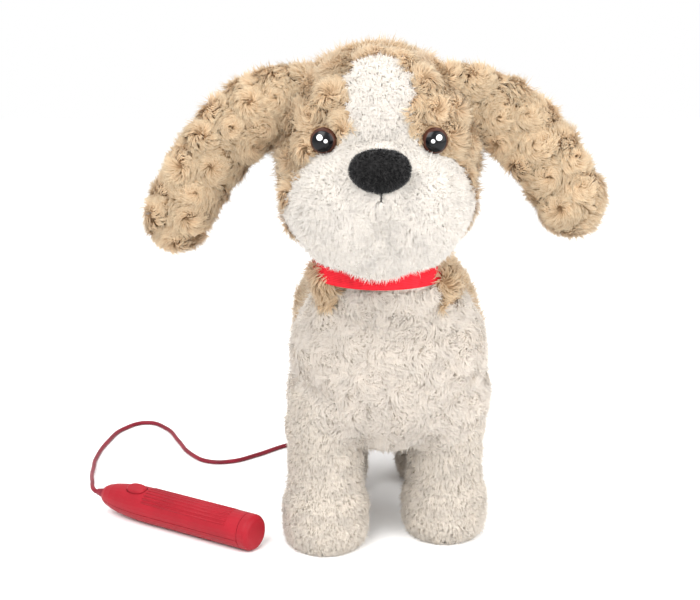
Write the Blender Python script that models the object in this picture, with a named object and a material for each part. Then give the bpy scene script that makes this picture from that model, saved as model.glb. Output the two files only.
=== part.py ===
"""A walking plush puppy on a wired handset, built as an assembly of separate parts.

Run it with: blender --background --python part.py
The puppy stands on z = 0 and faces -Y, so its left side is at +X. Units are metres.
"""

import math

import bmesh
import bpy
from mathutils import Vector

# ------------------------------------------------------------------ driving dimensions
# The puppy's centre line, measured from the middle of the whole set's floor area.
PUPPY_X = 0.0280
PUPPY_Y = 0.0066

GAP = 0.0003  # left between pieces that touch
RUNNING_GAP = 0.0004  # radial play of a pin in its hole

# Legs: all four are the same length and are stopped part of the way through a stride.
ANKLE_DROP = 0.088  # hip axis to the ankle, along the leg
ANKLE_HEIGHT = 0.0130  # ankle to the floor
STRIDE_REST = math.radians(6.0)  # lean of the legs in this stance: left back, right forward
FOOT_PAD = (0.028, 0.034, 0.0030)
HIP_HEIGHT = ANKLE_DROP * math.cos(STRIDE_REST) + ANKLE_HEIGHT
FRONT_HIP_Y = -0.044
REAR_HIP_Y = 0.050
LEG_X = 0.034  # middle of a foot, from the centre line
BAR_INNER = 0.0270  # the plastic leg bar lies between these two distances
BAR_OUTER = 0.0320
BAR_WIDTH = 0.014
AXLE_RADIUS = 0.0020
LINK_ARM = 0.010  # hip axis up to the link rod's pins
CRANK_ARM = 0.022  # hip axis up to the crank axis
CRANK_THROW = 0.005

# The hard shell that holds the drive.
SHELL_HALF = 0.024
SHELL_Y = (-0.056, 0.066)
SHELL_Z = (0.073, 0.140)
WALL = 0.0020

# Gear train: three equal stages.
MODULE = 0.0008
PINION_TEETH = 10
WHEEL_TEETH = 30
MESH_DISTANCE = MODULE * (PINION_TEETH + WHEEL_TEETH) / 2 + 0.0001

# Head.
SKULL_CENTRE = Vector((0.0, -0.066, 0.2385))
SKULL_RADII = Vector((0.054, 0.052, 0.0590))
MUZZLE_CENTRE = Vector((0.0, -0.103, 0.2140))
MUZZLE_RADII = Vector((0.0465, 0.043, 0.0385))
EYE_X = 0.0290
EYE_Z = 0.2525
EYE_RADIUS = 0.0078
NOSE_CENTRE = Vector((0.0, -0.1405, 0.2420))
EAR_SEAM = Vector((0.0525, -0.072, 0.265))
POST_Y = -0.046

# Handset, with +X from its butt to its tip.
HANDSET_BUTT = Vector((-0.0750, -0.0727))
HANDSET_TURN = math.radians(147.1)
HANDSET_ROLL = math.radians(-15.0)
HANDSET_RADIUS = 0.0110
HANDSET_LENGTH = 0.1170
HANDSET_WALL = 0.0018
BATTERY = (0.00525, 0.0445)  # radius and length of an AAA cell

# Drive.
SPINDLE_RADIUS = 0.0012
MOTOR_RADIUS = 0.0098
MOTOR_BEARING_RADIUS = 0.0030
MOTOR_SHAFT_RADIUS = 0.0010
CRANK_DISC_RADIUS = 0.0085
CRANK_PIN_RADIUS = 0.0014
LINK_PIN_RADIUS = 0.0015
LINK_THICK = 0.0020
CLIP_GAP = 0.0005

# Lead.
CORD_RADIUS = 0.0014
COIL_CENTRE = Vector((0.036, 0.1300))
COIL_RADIUS = 0.016


# ------------------------------------------------------------------ looks
def material(name, colour, roughness, metallic=0.0):
    look = bpy.data.materials.new(name)
    look.use_nodes = True
    shader = look.node_tree.nodes["Principled BSDF"]
    shader.inputs["Base Color"].default_value = (*colour, 1.0)
    shader.inputs["Roughness"].default_value = roughness
    shader.inputs["Metallic"].default_value = metallic
    return look


def make_looks():
    return {
        "plush_cream": material("plush_cream", (0.83, 0.78, 0.71), 0.95),
        "plush_white": material("plush_white", (0.90, 0.88, 0.84), 0.95),
        "plush_tan": material("plush_tan", (0.63, 0.48, 0.31), 0.95),
        "felt_black": material("felt_black", (0.02, 0.02, 0.02), 0.95),
        "ribbon_red": material("ribbon_red", (0.78, 0.04, 0.05), 0.6),
        "plastic_red": material("plastic_red", (0.62, 0.03, 0.05), 0.4),
        "cord_red": material("cord_red", (0.42, 0.02, 0.05), 0.45),
        "eye_gloss": material("eye_gloss", (0.02, 0.015, 0.012), 0.1),
        "shell_grey": material("shell_grey", (0.55, 0.56, 0.58), 0.5),
        "gear_white": material("gear_white", (0.86, 0.86, 0.82), 0.45),
        "steel": material("steel", (0.62, 0.62, 0.64), 0.3, 1.0),
        "board_green": material("board_green", (0.03, 0.22, 0.10), 0.5),
        "sole_rubber": material("sole_rubber", (0.10, 0.10, 0.10), 0.9),
        "cell_wrap": material("cell_wrap", (0.12, 0.12, 0.13), 0.35),
    }


# ------------------------------------------------------------------ objects and joins
def add_object(name, bm, look, parent, location=(0, 0, 0), rotation=(0, 0, 0)):
    mesh = bpy.data.meshes.new(name)
    bm.to_mesh(mesh)
    bm.free()
    mesh.shade_smooth()
    mesh.set_sharp_from_angle(angle=math.radians(40))
    mesh.materials.append(look)
    obj = bpy.data.objects.new(name, mesh)
    bpy.context.scene.collection.objects.link(obj)
    obj.parent = parent
    obj.location = location
    obj.rotation_euler = rotation
    return obj


def add_pivot(name, parent, location, rotation=(0, 0, 0)):
    pivot = bpy.data.objects.new(name, None)
    bpy.context.scene.collection.objects.link(pivot)
    pivot.parent = parent
    pivot.location = location
    pivot.rotation_euler = rotation
    return pivot


def as_tool(obj):
    """Marks obj as a helper for a Boolean, which isn't part of the model."""
    obj.hide_render = True
    obj.display_type = "WIRE"
    return obj


def add_tool(name, bm, parent, location=(0, 0, 0), rotation=(0, 0, 0)):
    return as_tool(add_object(name, bm, None, parent, location, rotation))


def boolean(obj, operation, *tools):
    for tool in tools:
        modifier = obj.modifiers.new(tool.name, "BOOLEAN")
        modifier.operation = operation
        modifier.object = tool


def cut(obj, *tools):
    boolean(obj, "DIFFERENCE", *tools)


def unite(obj, *tools):
    boolean(obj, "UNION", *tools)


# ------------------------------------------------------------------ shapes
def block(low, high, bevel=0.0):
    """A box between two corners, with its edges rounded if bevel is given."""
    bm = bmesh.new()
    bmesh.ops.create_cube(bm, size=1.0)
    low, high = Vector(low), Vector(high)
    bmesh.ops.scale(bm, vec=high - low, verts=bm.verts)
    if bevel:
        bmesh.ops.bevel(
            bm, geom=bm.edges[:], offset=bevel, segments=1, profile=0.5, affect="EDGES"
        )
    bmesh.ops.translate(bm, vec=(low + high) / 2, verts=bm.verts)
    return bm


def loft(rings):
    """A closed solid through flat rings of equal size, with flat ends."""
    bm = bmesh.new()
    loops = [[bm.verts.new(point) for point in ring] for ring in rings]
    for lower, upper in zip(loops, loops[1:]):
        for k in range(len(lower)):
            j = (k + 1) % len(lower)
            bm.faces.new((lower[k], lower[j], upper[j], upper[k]))
    bm.faces.new(loops[0][::-1])
    bm.faces.new(loops[-1])
    bmesh.ops.recalc_face_normals(bm, faces=bm.faces)
    return bm


def around(count, start=0.0):
    return [start + 2 * math.pi * k / count for k in range(count)]


def rod(radius, low, high, axis="X", segments=20):
    """A plain cylinder along one axis, between two distances."""
    return turned([(low, radius), (high, radius)], axis, segments)


def turned(profile, axis="X", segments=24):
    """A solid of revolution. The profile is (distance along the axis, radius) pairs."""
    order = {"X": (0, 1, 2), "Y": (1, 2, 0), "Z": (2, 0, 1)}[axis]
    rings = []
    for along, radius in profile:
        ring = []
        for angle in around(segments):
            point = [0.0, 0.0, 0.0]
            point[order[0]] = along
            point[order[1]] = radius * math.cos(angle)
            point[order[2]] = radius * math.sin(angle)
            ring.append(point)
        rings.append(ring)
    return loft(rings)


def hoop(profile, segments):
    """A ring about Z from a closed profile of (radius, height) pairs."""
    bm = bmesh.new()
    loops = [
        [bm.verts.new((r * math.cos(a), r * math.sin(a), z)) for r, z in profile]
        for a in around(segments)
    ]
    for k, loop in enumerate(loops):
        after = loops[(k + 1) % segments]
        for i in range(len(profile)):
            j = (i + 1) % len(profile)
            bm.faces.new((loop[i], after[i], after[j], loop[j]))
    bmesh.ops.recalc_face_normals(bm, faces=bm.faces)
    return bm


def power_curve(value, power):
    return math.copysign(abs(value) ** (2 / power), value)


def oval(half_a, half_b, power, segments):
    """Points round a superellipse: power 2 is an ellipse, and more is squarer."""
    return [
        (half_a * power_curve(math.cos(t), power), half_b * power_curve(math.sin(t), power))
        for t in around(segments)
    ]


def pod(centre, radii, power=2.2, rings=12, segments=24, grow=0.0):
    """A superellipsoid about Z, for a stuffed shape."""
    solid = []
    for k in range(rings):
        tilt = math.pi * ((k + 0.35) / (rings - 0.3) - 0.5)
        height = (radii.z + grow) * power_curve(math.sin(tilt), power)
        share = abs(math.cos(tilt)) ** (2 / power)
        ring = oval((radii.x + grow) * share, (radii.y + grow) * share, power, segments)
        solid.append([centre + Vector((x, y, height)) for x, y in ring])
    return loft(solid)


def sweep(path, widths, depths, flat_axis, segments=16):
    """A tube along a path. Each ring is widths by depths, with depths along flat_axis."""
    rings = []
    for k, point in enumerate(path):
        ahead = path[min(k + 1, len(path) - 1)] - path[max(k - 1, 0)]
        side = ahead.cross(flat_axis).normalized()
        deep = side.cross(ahead).normalized()
        ring = oval(widths[k], depths[k], 2.0, segments)
        rings.append([point + side * a + deep * b for a, b in ring])
    return loft(rings)


# ------------------------------------------------------------------ stuffed torso
TORSO_POWER = 2.5
# distance back, half width, bottom, top
TORSO_SECTIONS = (
    (-0.090, 0.016, 0.098, 0.130),
    (-0.085, 0.032, 0.080, 0.143),
    (-0.074, 0.046, 0.064, 0.154),
    (-0.050, 0.0545, 0.054, 0.162),
    (-0.018, 0.0565, 0.052, 0.163),
    (0.020, 0.0550, 0.052, 0.159),
    (0.055, 0.0540, 0.053, 0.157),
    (0.078, 0.0480, 0.060, 0.152),
    (0.092, 0.0340, 0.074, 0.140),
    (0.097, 0.0180, 0.092, 0.124),
)
STUFFING = 0.0085  # thickness of plush and padding round the shell
NECK_SECTIONS = (  # height, distance back, radius
    (0.130, -0.036, 0.0365),
    (0.150, -0.048, 0.0365),
    (0.161, -0.054, 0.0365),
    (0.192, -0.054, 0.0365),
)


def torso_rings(inset=0.0):
    rings = []
    for back, half, low, high in TORSO_SECTIONS:
        middle, tall = (low + high) / 2, (high - low) / 2 - inset
        shape = oval(half - inset, tall, TORSO_POWER, 24)
        rings.append([Vector((x, back, middle + z)) for x, z in shape])
    return rings


def add_torso(puppy, looks):
    torso = add_object("torso_plush", loft(torso_rings()), looks["plush_cream"], puppy)
    neck_rings = [
        [Vector((x, back + y, z)) for x, y in oval(radius, radius, 2.0, 24)]
        for z, back, radius in NECK_SECTIONS
    ]
    neck = add_tool("neck_column", loft(neck_rings), puppy)
    unite(torso, neck)
    cavity = add_tool("torso_cavity", loft(torso_rings(STUFFING)[2:-1]), puppy)
    post_hole = add_tool(
        "neck_hole", rod(0.013, 0.140, 0.200, "Z"), puppy, (0, POST_Y, 0)
    )
    gland_hole = add_tool("gland_hole", rod(0.0046, 0.070, 0.110, "Y"), puppy, (0, 0, 0.082))
    tail_hole = add_tool(
        "tail_hole", block((-0.0125, 0.078, 0.1065), (0.0125, 0.105, 0.1195)), puppy
    )
    skull_seat = add_tool(
        "skull_seat", pod(SKULL_CENTRE, SKULL_RADII, rings=14, grow=0.0006), puppy
    )
    muzzle_seat = add_tool(
        "muzzle_seat", pod(MUZZLE_CENTRE, MUZZLE_RADII, 2.3, grow=0.0004), puppy
    )
    cut(torso, cavity, post_hole, gland_hole, tail_hole, skull_seat, muzzle_seat)
    for hip_y in (FRONT_HIP_Y, REAR_HIP_Y):
        for side in (-1, 1):
            edges = sorted((side * (BAR_INNER - 0.002), side * (BAR_OUTER + 0.002)))
            slot = block((edges[0], hip_y - 0.026, 0.040), (edges[1], hip_y + 0.026, 0.080))
            name = f"leg_slot_{'left' if side > 0 else 'right'}_{'rear' if hip_y > 0 else 'front'}"
            cut(torso, add_tool(name, slot, puppy))
    return torso


# ------------------------------------------------------------------ head
def surface_y(centre, radii, x, z, power):
    """The front surface of a pod at x and z."""
    share = 1 - abs((x - centre.x) / radii.x) ** power - abs((z - centre.z) / radii.z) ** power
    return centre.y - radii.y * max(share, 0.0) ** (1 / power)


def add_head(puppy, looks):
    skull = add_object(
        "head_plush", pod(SKULL_CENTRE, SKULL_RADII, rings=14), looks["plush_tan"], puppy
    )
    muzzle = add_object(
        "muzzle_plush", pod(MUZZLE_CENTRE, MUZZLE_RADII, 2.3), looks["plush_white"], puppy
    )
    behind_muzzle = add_tool(
        "skull_for_muzzle", pod(SKULL_CENTRE, SKULL_RADII, rings=14, grow=GAP), puppy
    )
    cut(muzzle, behind_muzzle)
    anchor_room = add_tool(
        "anchor_room", rod(0.0175, 0.150, 0.2135, "Z"), puppy, (0, POST_Y, 0)
    )
    cut(skull, anchor_room)
    for side, word in ((1, "left"), (-1, "right")):
        add_eye(puppy, looks, side, word, skull, muzzle)
    nose = add_object("nose", nose_shape(0.0), looks["felt_black"], puppy, NOSE_CENTRE)
    nose.rotation_euler = (math.radians(-18), 0, 0)
    nose_room = add_tool("nose_room", nose_shape(GAP), puppy, NOSE_CENTRE)
    nose_room.rotation_euler = nose.rotation_euler
    cut(muzzle, nose_room)


def add_eye(puppy, looks, side, word, skull, muzzle):
    """A domed plastic eye on a short stem, facing out of the skull's surface."""
    front = surface_y(SKULL_CENTRE, SKULL_RADII, EYE_X, EYE_Z, 2.2)
    place = Vector((side * EYE_X, front, EYE_Z))
    facing = (place - SKULL_CENTRE) * Vector((0.55, 1.0, 0.55))
    turn = facing.to_track_quat("Z", "Y").to_euler()
    dome = [(-0.0070, 0.0016), (-0.0012, 0.0016), (-0.0012, EYE_RADIUS)]
    dome += [
        (0.0036 * math.sin(t) + 0.0004, EYE_RADIUS * math.cos(t))
        for t in (0.0, 0.35, 0.7, 1.05, 1.35)
    ]
    add_object("eye_" + word, turned(dome, "Z", 18), looks["eye_gloss"], puppy, place, turn)
    room = [(-0.0090, 0.0020), (-0.0015, 0.0020), (-0.0015, EYE_RADIUS + GAP)]
    room += [(0.0120, EYE_RADIUS + GAP)]
    tool = add_tool("eye_room_" + word, turned(room, "Z", 18), puppy, place, turn)
    cut(skull, tool)
    cut(muzzle, tool)


def nose_shape(grow):
    """A padded nose: wide and flat on top, narrower below."""
    bm = pod(Vector((0, 0, 0)), Vector((0.0145, 0.0065, 0.0105)), 2.3, 7, 18, grow)
    for vert in bm.verts:
        vert.co.x *= 1.0 + 0.22 * vert.co.z / 0.0105
    return bm


def add_neck_post(puppy, looks):
    """The rigid post from the shell's roof to the anchor disc in the stuffed head."""
    foot = SHELL_Z[1] + GAP
    profile = [
        (foot, 0.0115),
        (foot + 0.0025, 0.0115),
        (foot + 0.0025, 0.0060),
        (0.2060, 0.0060),
        (0.2060, 0.0160),
        (0.2120, 0.0160),
    ]
    add_object("neck_post", turned(profile, "Z"), looks["shell_grey"], puppy, (0, POST_Y, 0))


def add_collar(puppy, looks):
    inner, outer, half = 0.0370, 0.0388, 0.0050
    ring = [(inner, -half), (outer, -half), (outer, half), (inner, half)]
    add_object("collar", hoop(ring, 32), looks["ribbon_red"], puppy, (0, -0.0540, 0.1692))


EAR_PATH = (  # out from the seam, forward, down, half width, half thickness
    (0.0020, 0.0, -0.0010, 0.0040, 0.0040),
    (0.0080, 0.0, -0.0042, 0.0095, 0.0060),
    (0.0185, 0.0005, -0.0105, 0.0175, 0.0075),
    (0.0330, 0.0020, -0.0230, 0.0180, 0.0080),
    (0.0460, 0.0045, -0.0385, 0.0165, 0.0080),
    (0.0550, 0.0070, -0.0540, 0.0150, 0.0075),
    (0.0605, 0.0085, -0.0660, 0.0115, 0.0065),
    (0.0625, 0.0090, -0.0720, 0.0060, 0.0045),
)


def add_ears(puppy, looks):
    for side, word in ((1, "left"), (-1, "right")):
        seam = add_pivot(
            "ear_seam_" + word, puppy, (side * EAR_SEAM.x, EAR_SEAM.y, EAR_SEAM.z)
        )
        path = [Vector((side * out, -forward, down)) for out, forward, down, _, _ in EAR_PATH]
        shape = sweep(path, [p[3] for p in EAR_PATH], [p[4] for p in EAR_PATH], Vector((0, 1, 0)))
        add_object("ear_" + word, shape, looks["plush_tan"], seam)


# ------------------------------------------------------------------ hard shell
SCREW_SPOTS = ((-0.047, 0.084), (0.020, 0.131), (0.057, 0.083))
SCREW_HEAD = (0.0030, 0.0017)
SCREW_SHANK = 0.0014
SCREW_REACH = 0.010


def crank_place():
    return (REAR_HIP_Y, HIP_HEIGHT + CRANK_ARM)


def add_shell(puppy, looks):
    low = (-SHELL_HALF, SHELL_Y[0], SHELL_Z[0])
    high = (SHELL_HALF, SHELL_Y[1], SHELL_Z[1])
    inner_low = [value + WALL for value in low]
    inner_high = [value - WALL for value in high]
    room = add_tool("shell_room", block(inner_low, inner_high, 0.004), puppy)
    axle_holes = [
        add_tool(f"shaft_hole_{k}", rod(AXLE_RADIUS + GAP, -0.03, 0.03), puppy, (0, *spot))
        for k, spot in enumerate(
            ((FRONT_HIP_Y, HIP_HEIGHT), (REAR_HIP_Y, HIP_HEIGHT), crank_place())
        )
    ]
    speaker_hole = add_tool(
        "speaker_hole", rod(0.010, 0.06, 0.08, "Z", 16), puppy, (0, -0.022, 0)
    )
    lead_hole = add_tool("lead_hole", rod(0.0020, 0.060, 0.070, "Y", 12), puppy, (0, 0, 0.082))
    for side, word in ((1, "left"), (-1, "right")):
        half = add_object(
            "torso_shell_" + word, block(low, high, 0.006), looks["shell_grey"], puppy
        )
        cut(half, room)
        for k, (y, z) in enumerate(SCREW_SPOTS):
            ends = sorted((side * GAP / 2, side * (SHELL_HALF - WALL / 2)))
            boss = rod(0.0036, ends[0], ends[1], "X", 12)
            unite(half, add_tool(f"boss_{word}_{k}", boss, puppy, (0, y, z)))
            reach = (-0.03, 0.001) if side < 0 else (-0.001, SCREW_REACH + 0.001)
            hole = rod(SCREW_SHANK + GAP, *reach, "X", 12)
            cut(half, add_tool(f"boss_hole_{word}_{k}", hole, puppy, (0, y, z)))
        edges = sorted((side * GAP / 2, -side * 0.04))
        other_side = block((edges[0], -0.09, 0.05), (edges[1], 0.09, 0.16))
        cut(half, add_tool("other_half_" + word, other_side, puppy))
        cut(half, *axle_holes, speaker_hole, lead_hole)
    for k, (y, z) in enumerate(SCREW_SPOTS):
        face = -SHELL_HALF - GAP
        profile = [
            (face - SCREW_HEAD[1], SCREW_HEAD[0] * 0.7),
            (face - SCREW_HEAD[1] * 0.6, SCREW_HEAD[0]),
            (face, SCREW_HEAD[0]),
            (face, SCREW_SHANK),
            (SCREW_REACH, SCREW_SHANK),
        ]
        add_object(
            f"shell_screw_{k + 1}", turned(profile, "X", 12), looks["steel"], puppy, (0, y, z)
        )


# ------------------------------------------------------------------ drive train
def gear_outline(teeth, phase):
    """Points round a spur gear with straight-sided teeth, as (y, z) pairs."""
    pitch = MODULE * teeth / 2
    step = 2 * math.pi / teeth
    corners = (
        (-0.30, pitch - 1.25 * MODULE),
        (-0.10, pitch + 0.80 * MODULE),
        (0.10, pitch + 0.80 * MODULE),
        (0.30, pitch - 1.25 * MODULE),
    )
    points = []
    for k in range(teeth):
        for share, radius in corners:
            angle = phase + (k + share) * step
            points.append((radius * math.cos(angle), radius * math.sin(angle)))
    return points


def gear(teeth, phase, low, high):
    outline = gear_outline(teeth, phase)
    return loft([[(x, y, z) for y, z in outline] for x in (low, high)])


def step_along(start, angle):
    """The next gear's centre, one mesh distance away."""
    return (
        start[0] + MESH_DISTANCE * math.cos(angle),
        start[1] + MESH_DISTANCE * math.sin(angle),
    )


CRANK_TO_SECOND = math.radians(220)
SECOND_TO_FIRST = math.radians(200)
FIRST_TO_MOTOR = math.radians(166)
WHEEL_HALF_STEP = math.pi / WHEEL_TEETH


def gear_places():
    crank = crank_place()
    second = step_along(crank, CRANK_TO_SECOND)
    first = step_along(second, SECOND_TO_FIRST)
    motor = step_along(first, FIRST_TO_MOTOR)
    return crank, second, first, motor


def add_compound_gear(name, place, wheel, small, shaft, puppy, looks):
    """A large wheel and a small pinion on one shaft. wheel and small are (phase, low, high)."""
    body = add_object(name, gear(WHEEL_TEETH, *wheel), looks["gear_white"], puppy, (0, *place))
    pinion = add_tool(name + "_small", gear(PINION_TEETH, *small), puppy, (0, *place))
    spindle = add_tool(name + "_shaft", rod(SPINDLE_RADIUS, *shaft, "X", 12), puppy, (0, *place))
    unite(body, pinion, spindle)


def add_drive(puppy, looks):
    crank, second, first, motor = gear_places()
    add_compound_gear(
        "reduction_gear_first",
        first,
        (FIRST_TO_MOTOR + WHEEL_HALF_STEP, 0.0150, 0.0185),
        (SECOND_TO_FIRST + math.pi, 0.0104, 0.0155),
        (0.0002, 0.0212),
        puppy,
        looks,
    )
    add_compound_gear(
        "reduction_gear_second",
        second,
        (SECOND_TO_FIRST + WHEEL_HALF_STEP, 0.0106, 0.0141),
        (CRANK_TO_SECOND + math.pi, 0.0058, 0.0110),
        (0.0002, 0.0212),
        puppy,
        looks,
    )
    pinion = gear(PINION_TEETH, FIRST_TO_MOTOR + math.pi, 0.0145, 0.0190)
    motor_gear = add_object("motor_pinion", pinion, looks["steel"], puppy, (0, *motor))
    unite(
        motor_gear,
        add_tool("motor_shaft", rod(MOTOR_SHAFT_RADIUS, 0.0092, 0.0200, "X", 12), puppy, (0, *motor)),
    )
    output = gear(WHEEL_TEETH, CRANK_TO_SECOND + WHEEL_HALF_STEP, 0.0060, 0.0095)
    output_gear = add_object("output_gear", output, looks["gear_white"], puppy, (0, *crank))
    cut(
        output_gear,
        add_tool("output_bore", rod(AXLE_RADIUS + GAP, 0, 0.02, "X", 16), puppy, (0, *crank)),
    )
    shaft = rod(AXLE_RADIUS, -0.0262, 0.0262, "X", 16)
    add_object("crank_shaft", shaft, looks["steel"], puppy, (0, *crank))
    for side, word in ((1, "left"), (-1, "right")):
        add_crank_disc(side, word, crank, puppy, looks)
    add_motor(motor, puppy, looks)
    add_gearbox_plate(crank, second, first, motor, puppy, looks)


def add_crank_disc(side, word, crank, puppy, looks):
    """A disc on the shaft's end, whose pin drives the rear leg's slotted arm."""
    ends = sorted((side * (SHELL_HALF + 0.0004), side * 0.0263))
    plate = rod(CRANK_DISC_RADIUS, *ends, "X", 24)
    disc = add_object("crank_disc_" + word, plate, looks["gear_white"], puppy, (0, *crank))
    bore = rod(AXLE_RADIUS + GAP, -0.03, 0.03, "X", 16)
    cut(disc, add_tool("crank_bore_" + word, bore, puppy, (0, *crank)))
    tip = sorted((side * 0.0258, side * (BAR_INNER - 0.0003)))
    back = CRANK_ARM * math.sin(STRIDE_REST)
    up = math.sqrt(CRANK_THROW**2 - back**2)
    at = Vector((0, crank[0] - side * back, crank[1] + side * up))
    unite(disc, add_tool("crank_pin_" + word, rod(CRANK_PIN_RADIUS, *tip, "X", 12), puppy, at))


def add_motor(place, puppy, looks):
    rear, back, front, nose = -0.0175, -0.0160, 0.0075, 0.0088
    profile = [(rear, MOTOR_BEARING_RADIUS), (back, MOTOR_BEARING_RADIUS), (back, MOTOR_RADIUS)]
    profile += [(front, MOTOR_RADIUS), (front, MOTOR_BEARING_RADIUS), (nose, MOTOR_BEARING_RADIUS)]
    add_object("drive_motor", turned(profile, "X", 20), looks["steel"], puppy, (0, *place))


def add_gearbox_plate(crank, second, first, motor, puppy, looks):
    """The plate inside the shell that carries the gear shafts' inner ends and the motor."""
    low = (0.0008, -0.006, HIP_HEIGHT - 0.004)
    high = (0.0030, SHELL_Y[1] - 0.005, SHELL_Z[1] - 0.005)
    plate = add_object("gearbox_plate", block(low, high), looks["shell_grey"], puppy)
    holes = (
        (crank, AXLE_RADIUS + GAP),
        (second, SPINDLE_RADIUS + GAP),
        (first, SPINDLE_RADIUS + GAP),
        (motor, MOTOR_RADIUS + GAP),
        ((REAR_HIP_Y, HIP_HEIGHT), AXLE_RADIUS + GAP),
        (SCREW_SPOTS[1], 0.0042),
    )
    for k, (place, radius) in enumerate(holes):
        cut(
            plate,
            add_tool(f"plate_hole_{k}", rod(radius, -0.01, 0.01, "X", 20), puppy, (0, *place)),
        )


def add_electrics(puppy, looks):
    speaker = [(SHELL_Z[0] + WALL + GAP, 0.014), (0.0785, 0.014), (0.0785, 0.008)]
    speaker += [(0.0825, 0.008)]
    add_object("speaker", turned(speaker, "Z"), looks["cell_wrap"], puppy, (0, -0.022, 0))
    board = add_object(
        "circuit_board",
        block((-0.019, -0.036, 0.0900), (0.019, -0.010, 0.0916)),
        looks["board_green"],
        puppy,
    )
    chips = (
        ((-0.008, -0.030, 0.0910), (0.004, -0.020, 0.0935)),
        ((0.009, -0.032, 0.0910), (0.014, -0.024, 0.0960)),
    )
    for k, (low, high) in enumerate(chips):
        unite(board, add_tool(f"chip_{k}", block(low, high), puppy))


# ------------------------------------------------------------------ legs
def bar_outline(low, high, half):
    """A flat bar with round ends, as (y, z) points, from low to high along Z."""
    turn = [math.pi * k / 8 for k in range(9)]
    upper = [(half * math.cos(t), high - half + half * math.sin(t)) for t in turn]
    lower = [(-half * math.cos(t), low + half - half * math.sin(t)) for t in turn]
    return upper + lower


SLEEVE_SECTIONS = (  # height above the floor, forward shift, half width, half length
    (0.0012, 0.0010, 0.0190, 0.0205),
    (0.0040, 0.0020, 0.0220, 0.0245),
    (0.0100, 0.0025, 0.0235, 0.0260),
    (0.0180, 0.0020, 0.0230, 0.0245),
    (0.0270, 0.0005, 0.0212, 0.0215),
    (0.0400, 0.0000, 0.0208, 0.0205),
)
LEG_PARTS = (
    ("front_left", 1, FRONT_HIP_Y),
    ("front_right", -1, FRONT_HIP_Y),
    ("rear_left", 1, REAR_HIP_Y),
    ("rear_right", -1, REAR_HIP_Y),
)


def add_leg(word, side, hip_y, puppy, looks):
    """A leg hangs from its hip pivot, which holds it part of the way through a stride."""
    hip = add_pivot(
        "hip_" + word, puppy, (0, hip_y, HIP_HEIGHT), (side * STRIDE_REST, 0, 0)
    )
    ankle = add_pivot("ankle_" + word, hip, (0, 0, -ANKLE_DROP), (-side * STRIDE_REST, 0, 0))
    rear = hip_y > 0
    top = CRANK_ARM + 0.0105 if rear else LINK_ARM + 0.0060
    outline = bar_outline(-ANKLE_DROP - 0.0040, top, BAR_WIDTH / 2)
    core = add_object("leg_core_" + word, bar(outline, side), looks["shell_grey"], hip)
    unite(core, add_tool("foot_block_" + word, foot_block(side, 0.0), ankle))
    pin_ends = sorted((side * (BAR_OUTER - 0.001), side * (BAR_OUTER + 0.0030)))
    pin = add_tool("link_pin_" + word, rod(LINK_PIN_RADIUS, *pin_ends, "X", 12), hip, (0, 0, LINK_ARM))
    unite(core, pin)
    bore = rod(AXLE_RADIUS + RUNNING_GAP, *sorted((side * 0.02, side * 0.04)), "X", 16)
    cut(core, add_tool("hip_bore_" + word, bore, hip))
    if rear:
        reach = CRANK_THROW + 0.0018
        slot = bar_outline(CRANK_ARM - reach, CRANK_ARM + reach, 0.0018)
        cut(core, add_tool("crank_slot_" + word, bar(slot, side, 0.005), hip))
    add_sleeve(word, side, hip, ankle, looks)
    half_wide, half_long = FOOT_PAD[0] / 2, FOOT_PAD[1] / 2
    pad = block(
        (side * LEG_X - half_wide, -half_long, -ANKLE_HEIGHT),
        (side * LEG_X + half_wide, half_long, -ANKLE_HEIGHT + FOOT_PAD[2]),
    )
    add_object("foot_pad_" + word, pad, looks["sole_rubber"], ankle)


def bar(outline, side, grow=0.0):
    """A flat plate of the leg bar's thickness, from its (y, z) outline."""
    faces = sorted((side * (BAR_INNER - grow), side * (BAR_OUTER + grow)))
    return loft([[(x, y, z) for y, z in outline] for x in faces])


def foot_block(side, grow):
    """The plastic foot inside the paw, about the ankle."""
    low = (side * LEG_X - 0.0150 - grow, -0.0185 - grow, -ANKLE_HEIGHT + FOOT_PAD[2] + GAP)
    high = (side * LEG_X + 0.0150 + grow, 0.0175 + grow, grow)
    return block(low, high)


def add_sleeve(word, side, hip, ankle, looks):
    """The stuffed plush paw and shank round the plastic leg."""
    rings = []
    for height, ahead, half, deep in SLEEVE_SECTIONS:
        up = height - ANKLE_HEIGHT
        y = -ahead - side * math.tan(STRIDE_REST) * max(up, 0.0)
        shape = oval(half, deep, 2.3, 20)
        rings.append([Vector((side * LEG_X + x, y + along, up)) for x, along in shape])
    sleeve = add_object("leg_plush_" + word, loft(rings), looks["plush_white"], ankle)
    sole_room = block(
        (side * LEG_X - 0.0153, -0.0188, -ANKLE_HEIGHT - 0.01),
        (side * LEG_X + 0.0153, 0.0178, -ANKLE_HEIGHT + 0.005),
    )
    bar_room = bar(bar_outline(-ANKLE_DROP - 0.006, 0.0, BAR_WIDTH / 2 + GAP), side, GAP)
    cut(
        sleeve,
        add_tool("foot_room_" + word, foot_block(side, GAP), ankle),
        add_tool("sole_room_" + word, sole_room, ankle),
        add_tool("bar_room_" + word, bar_room, hip),
    )


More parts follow.
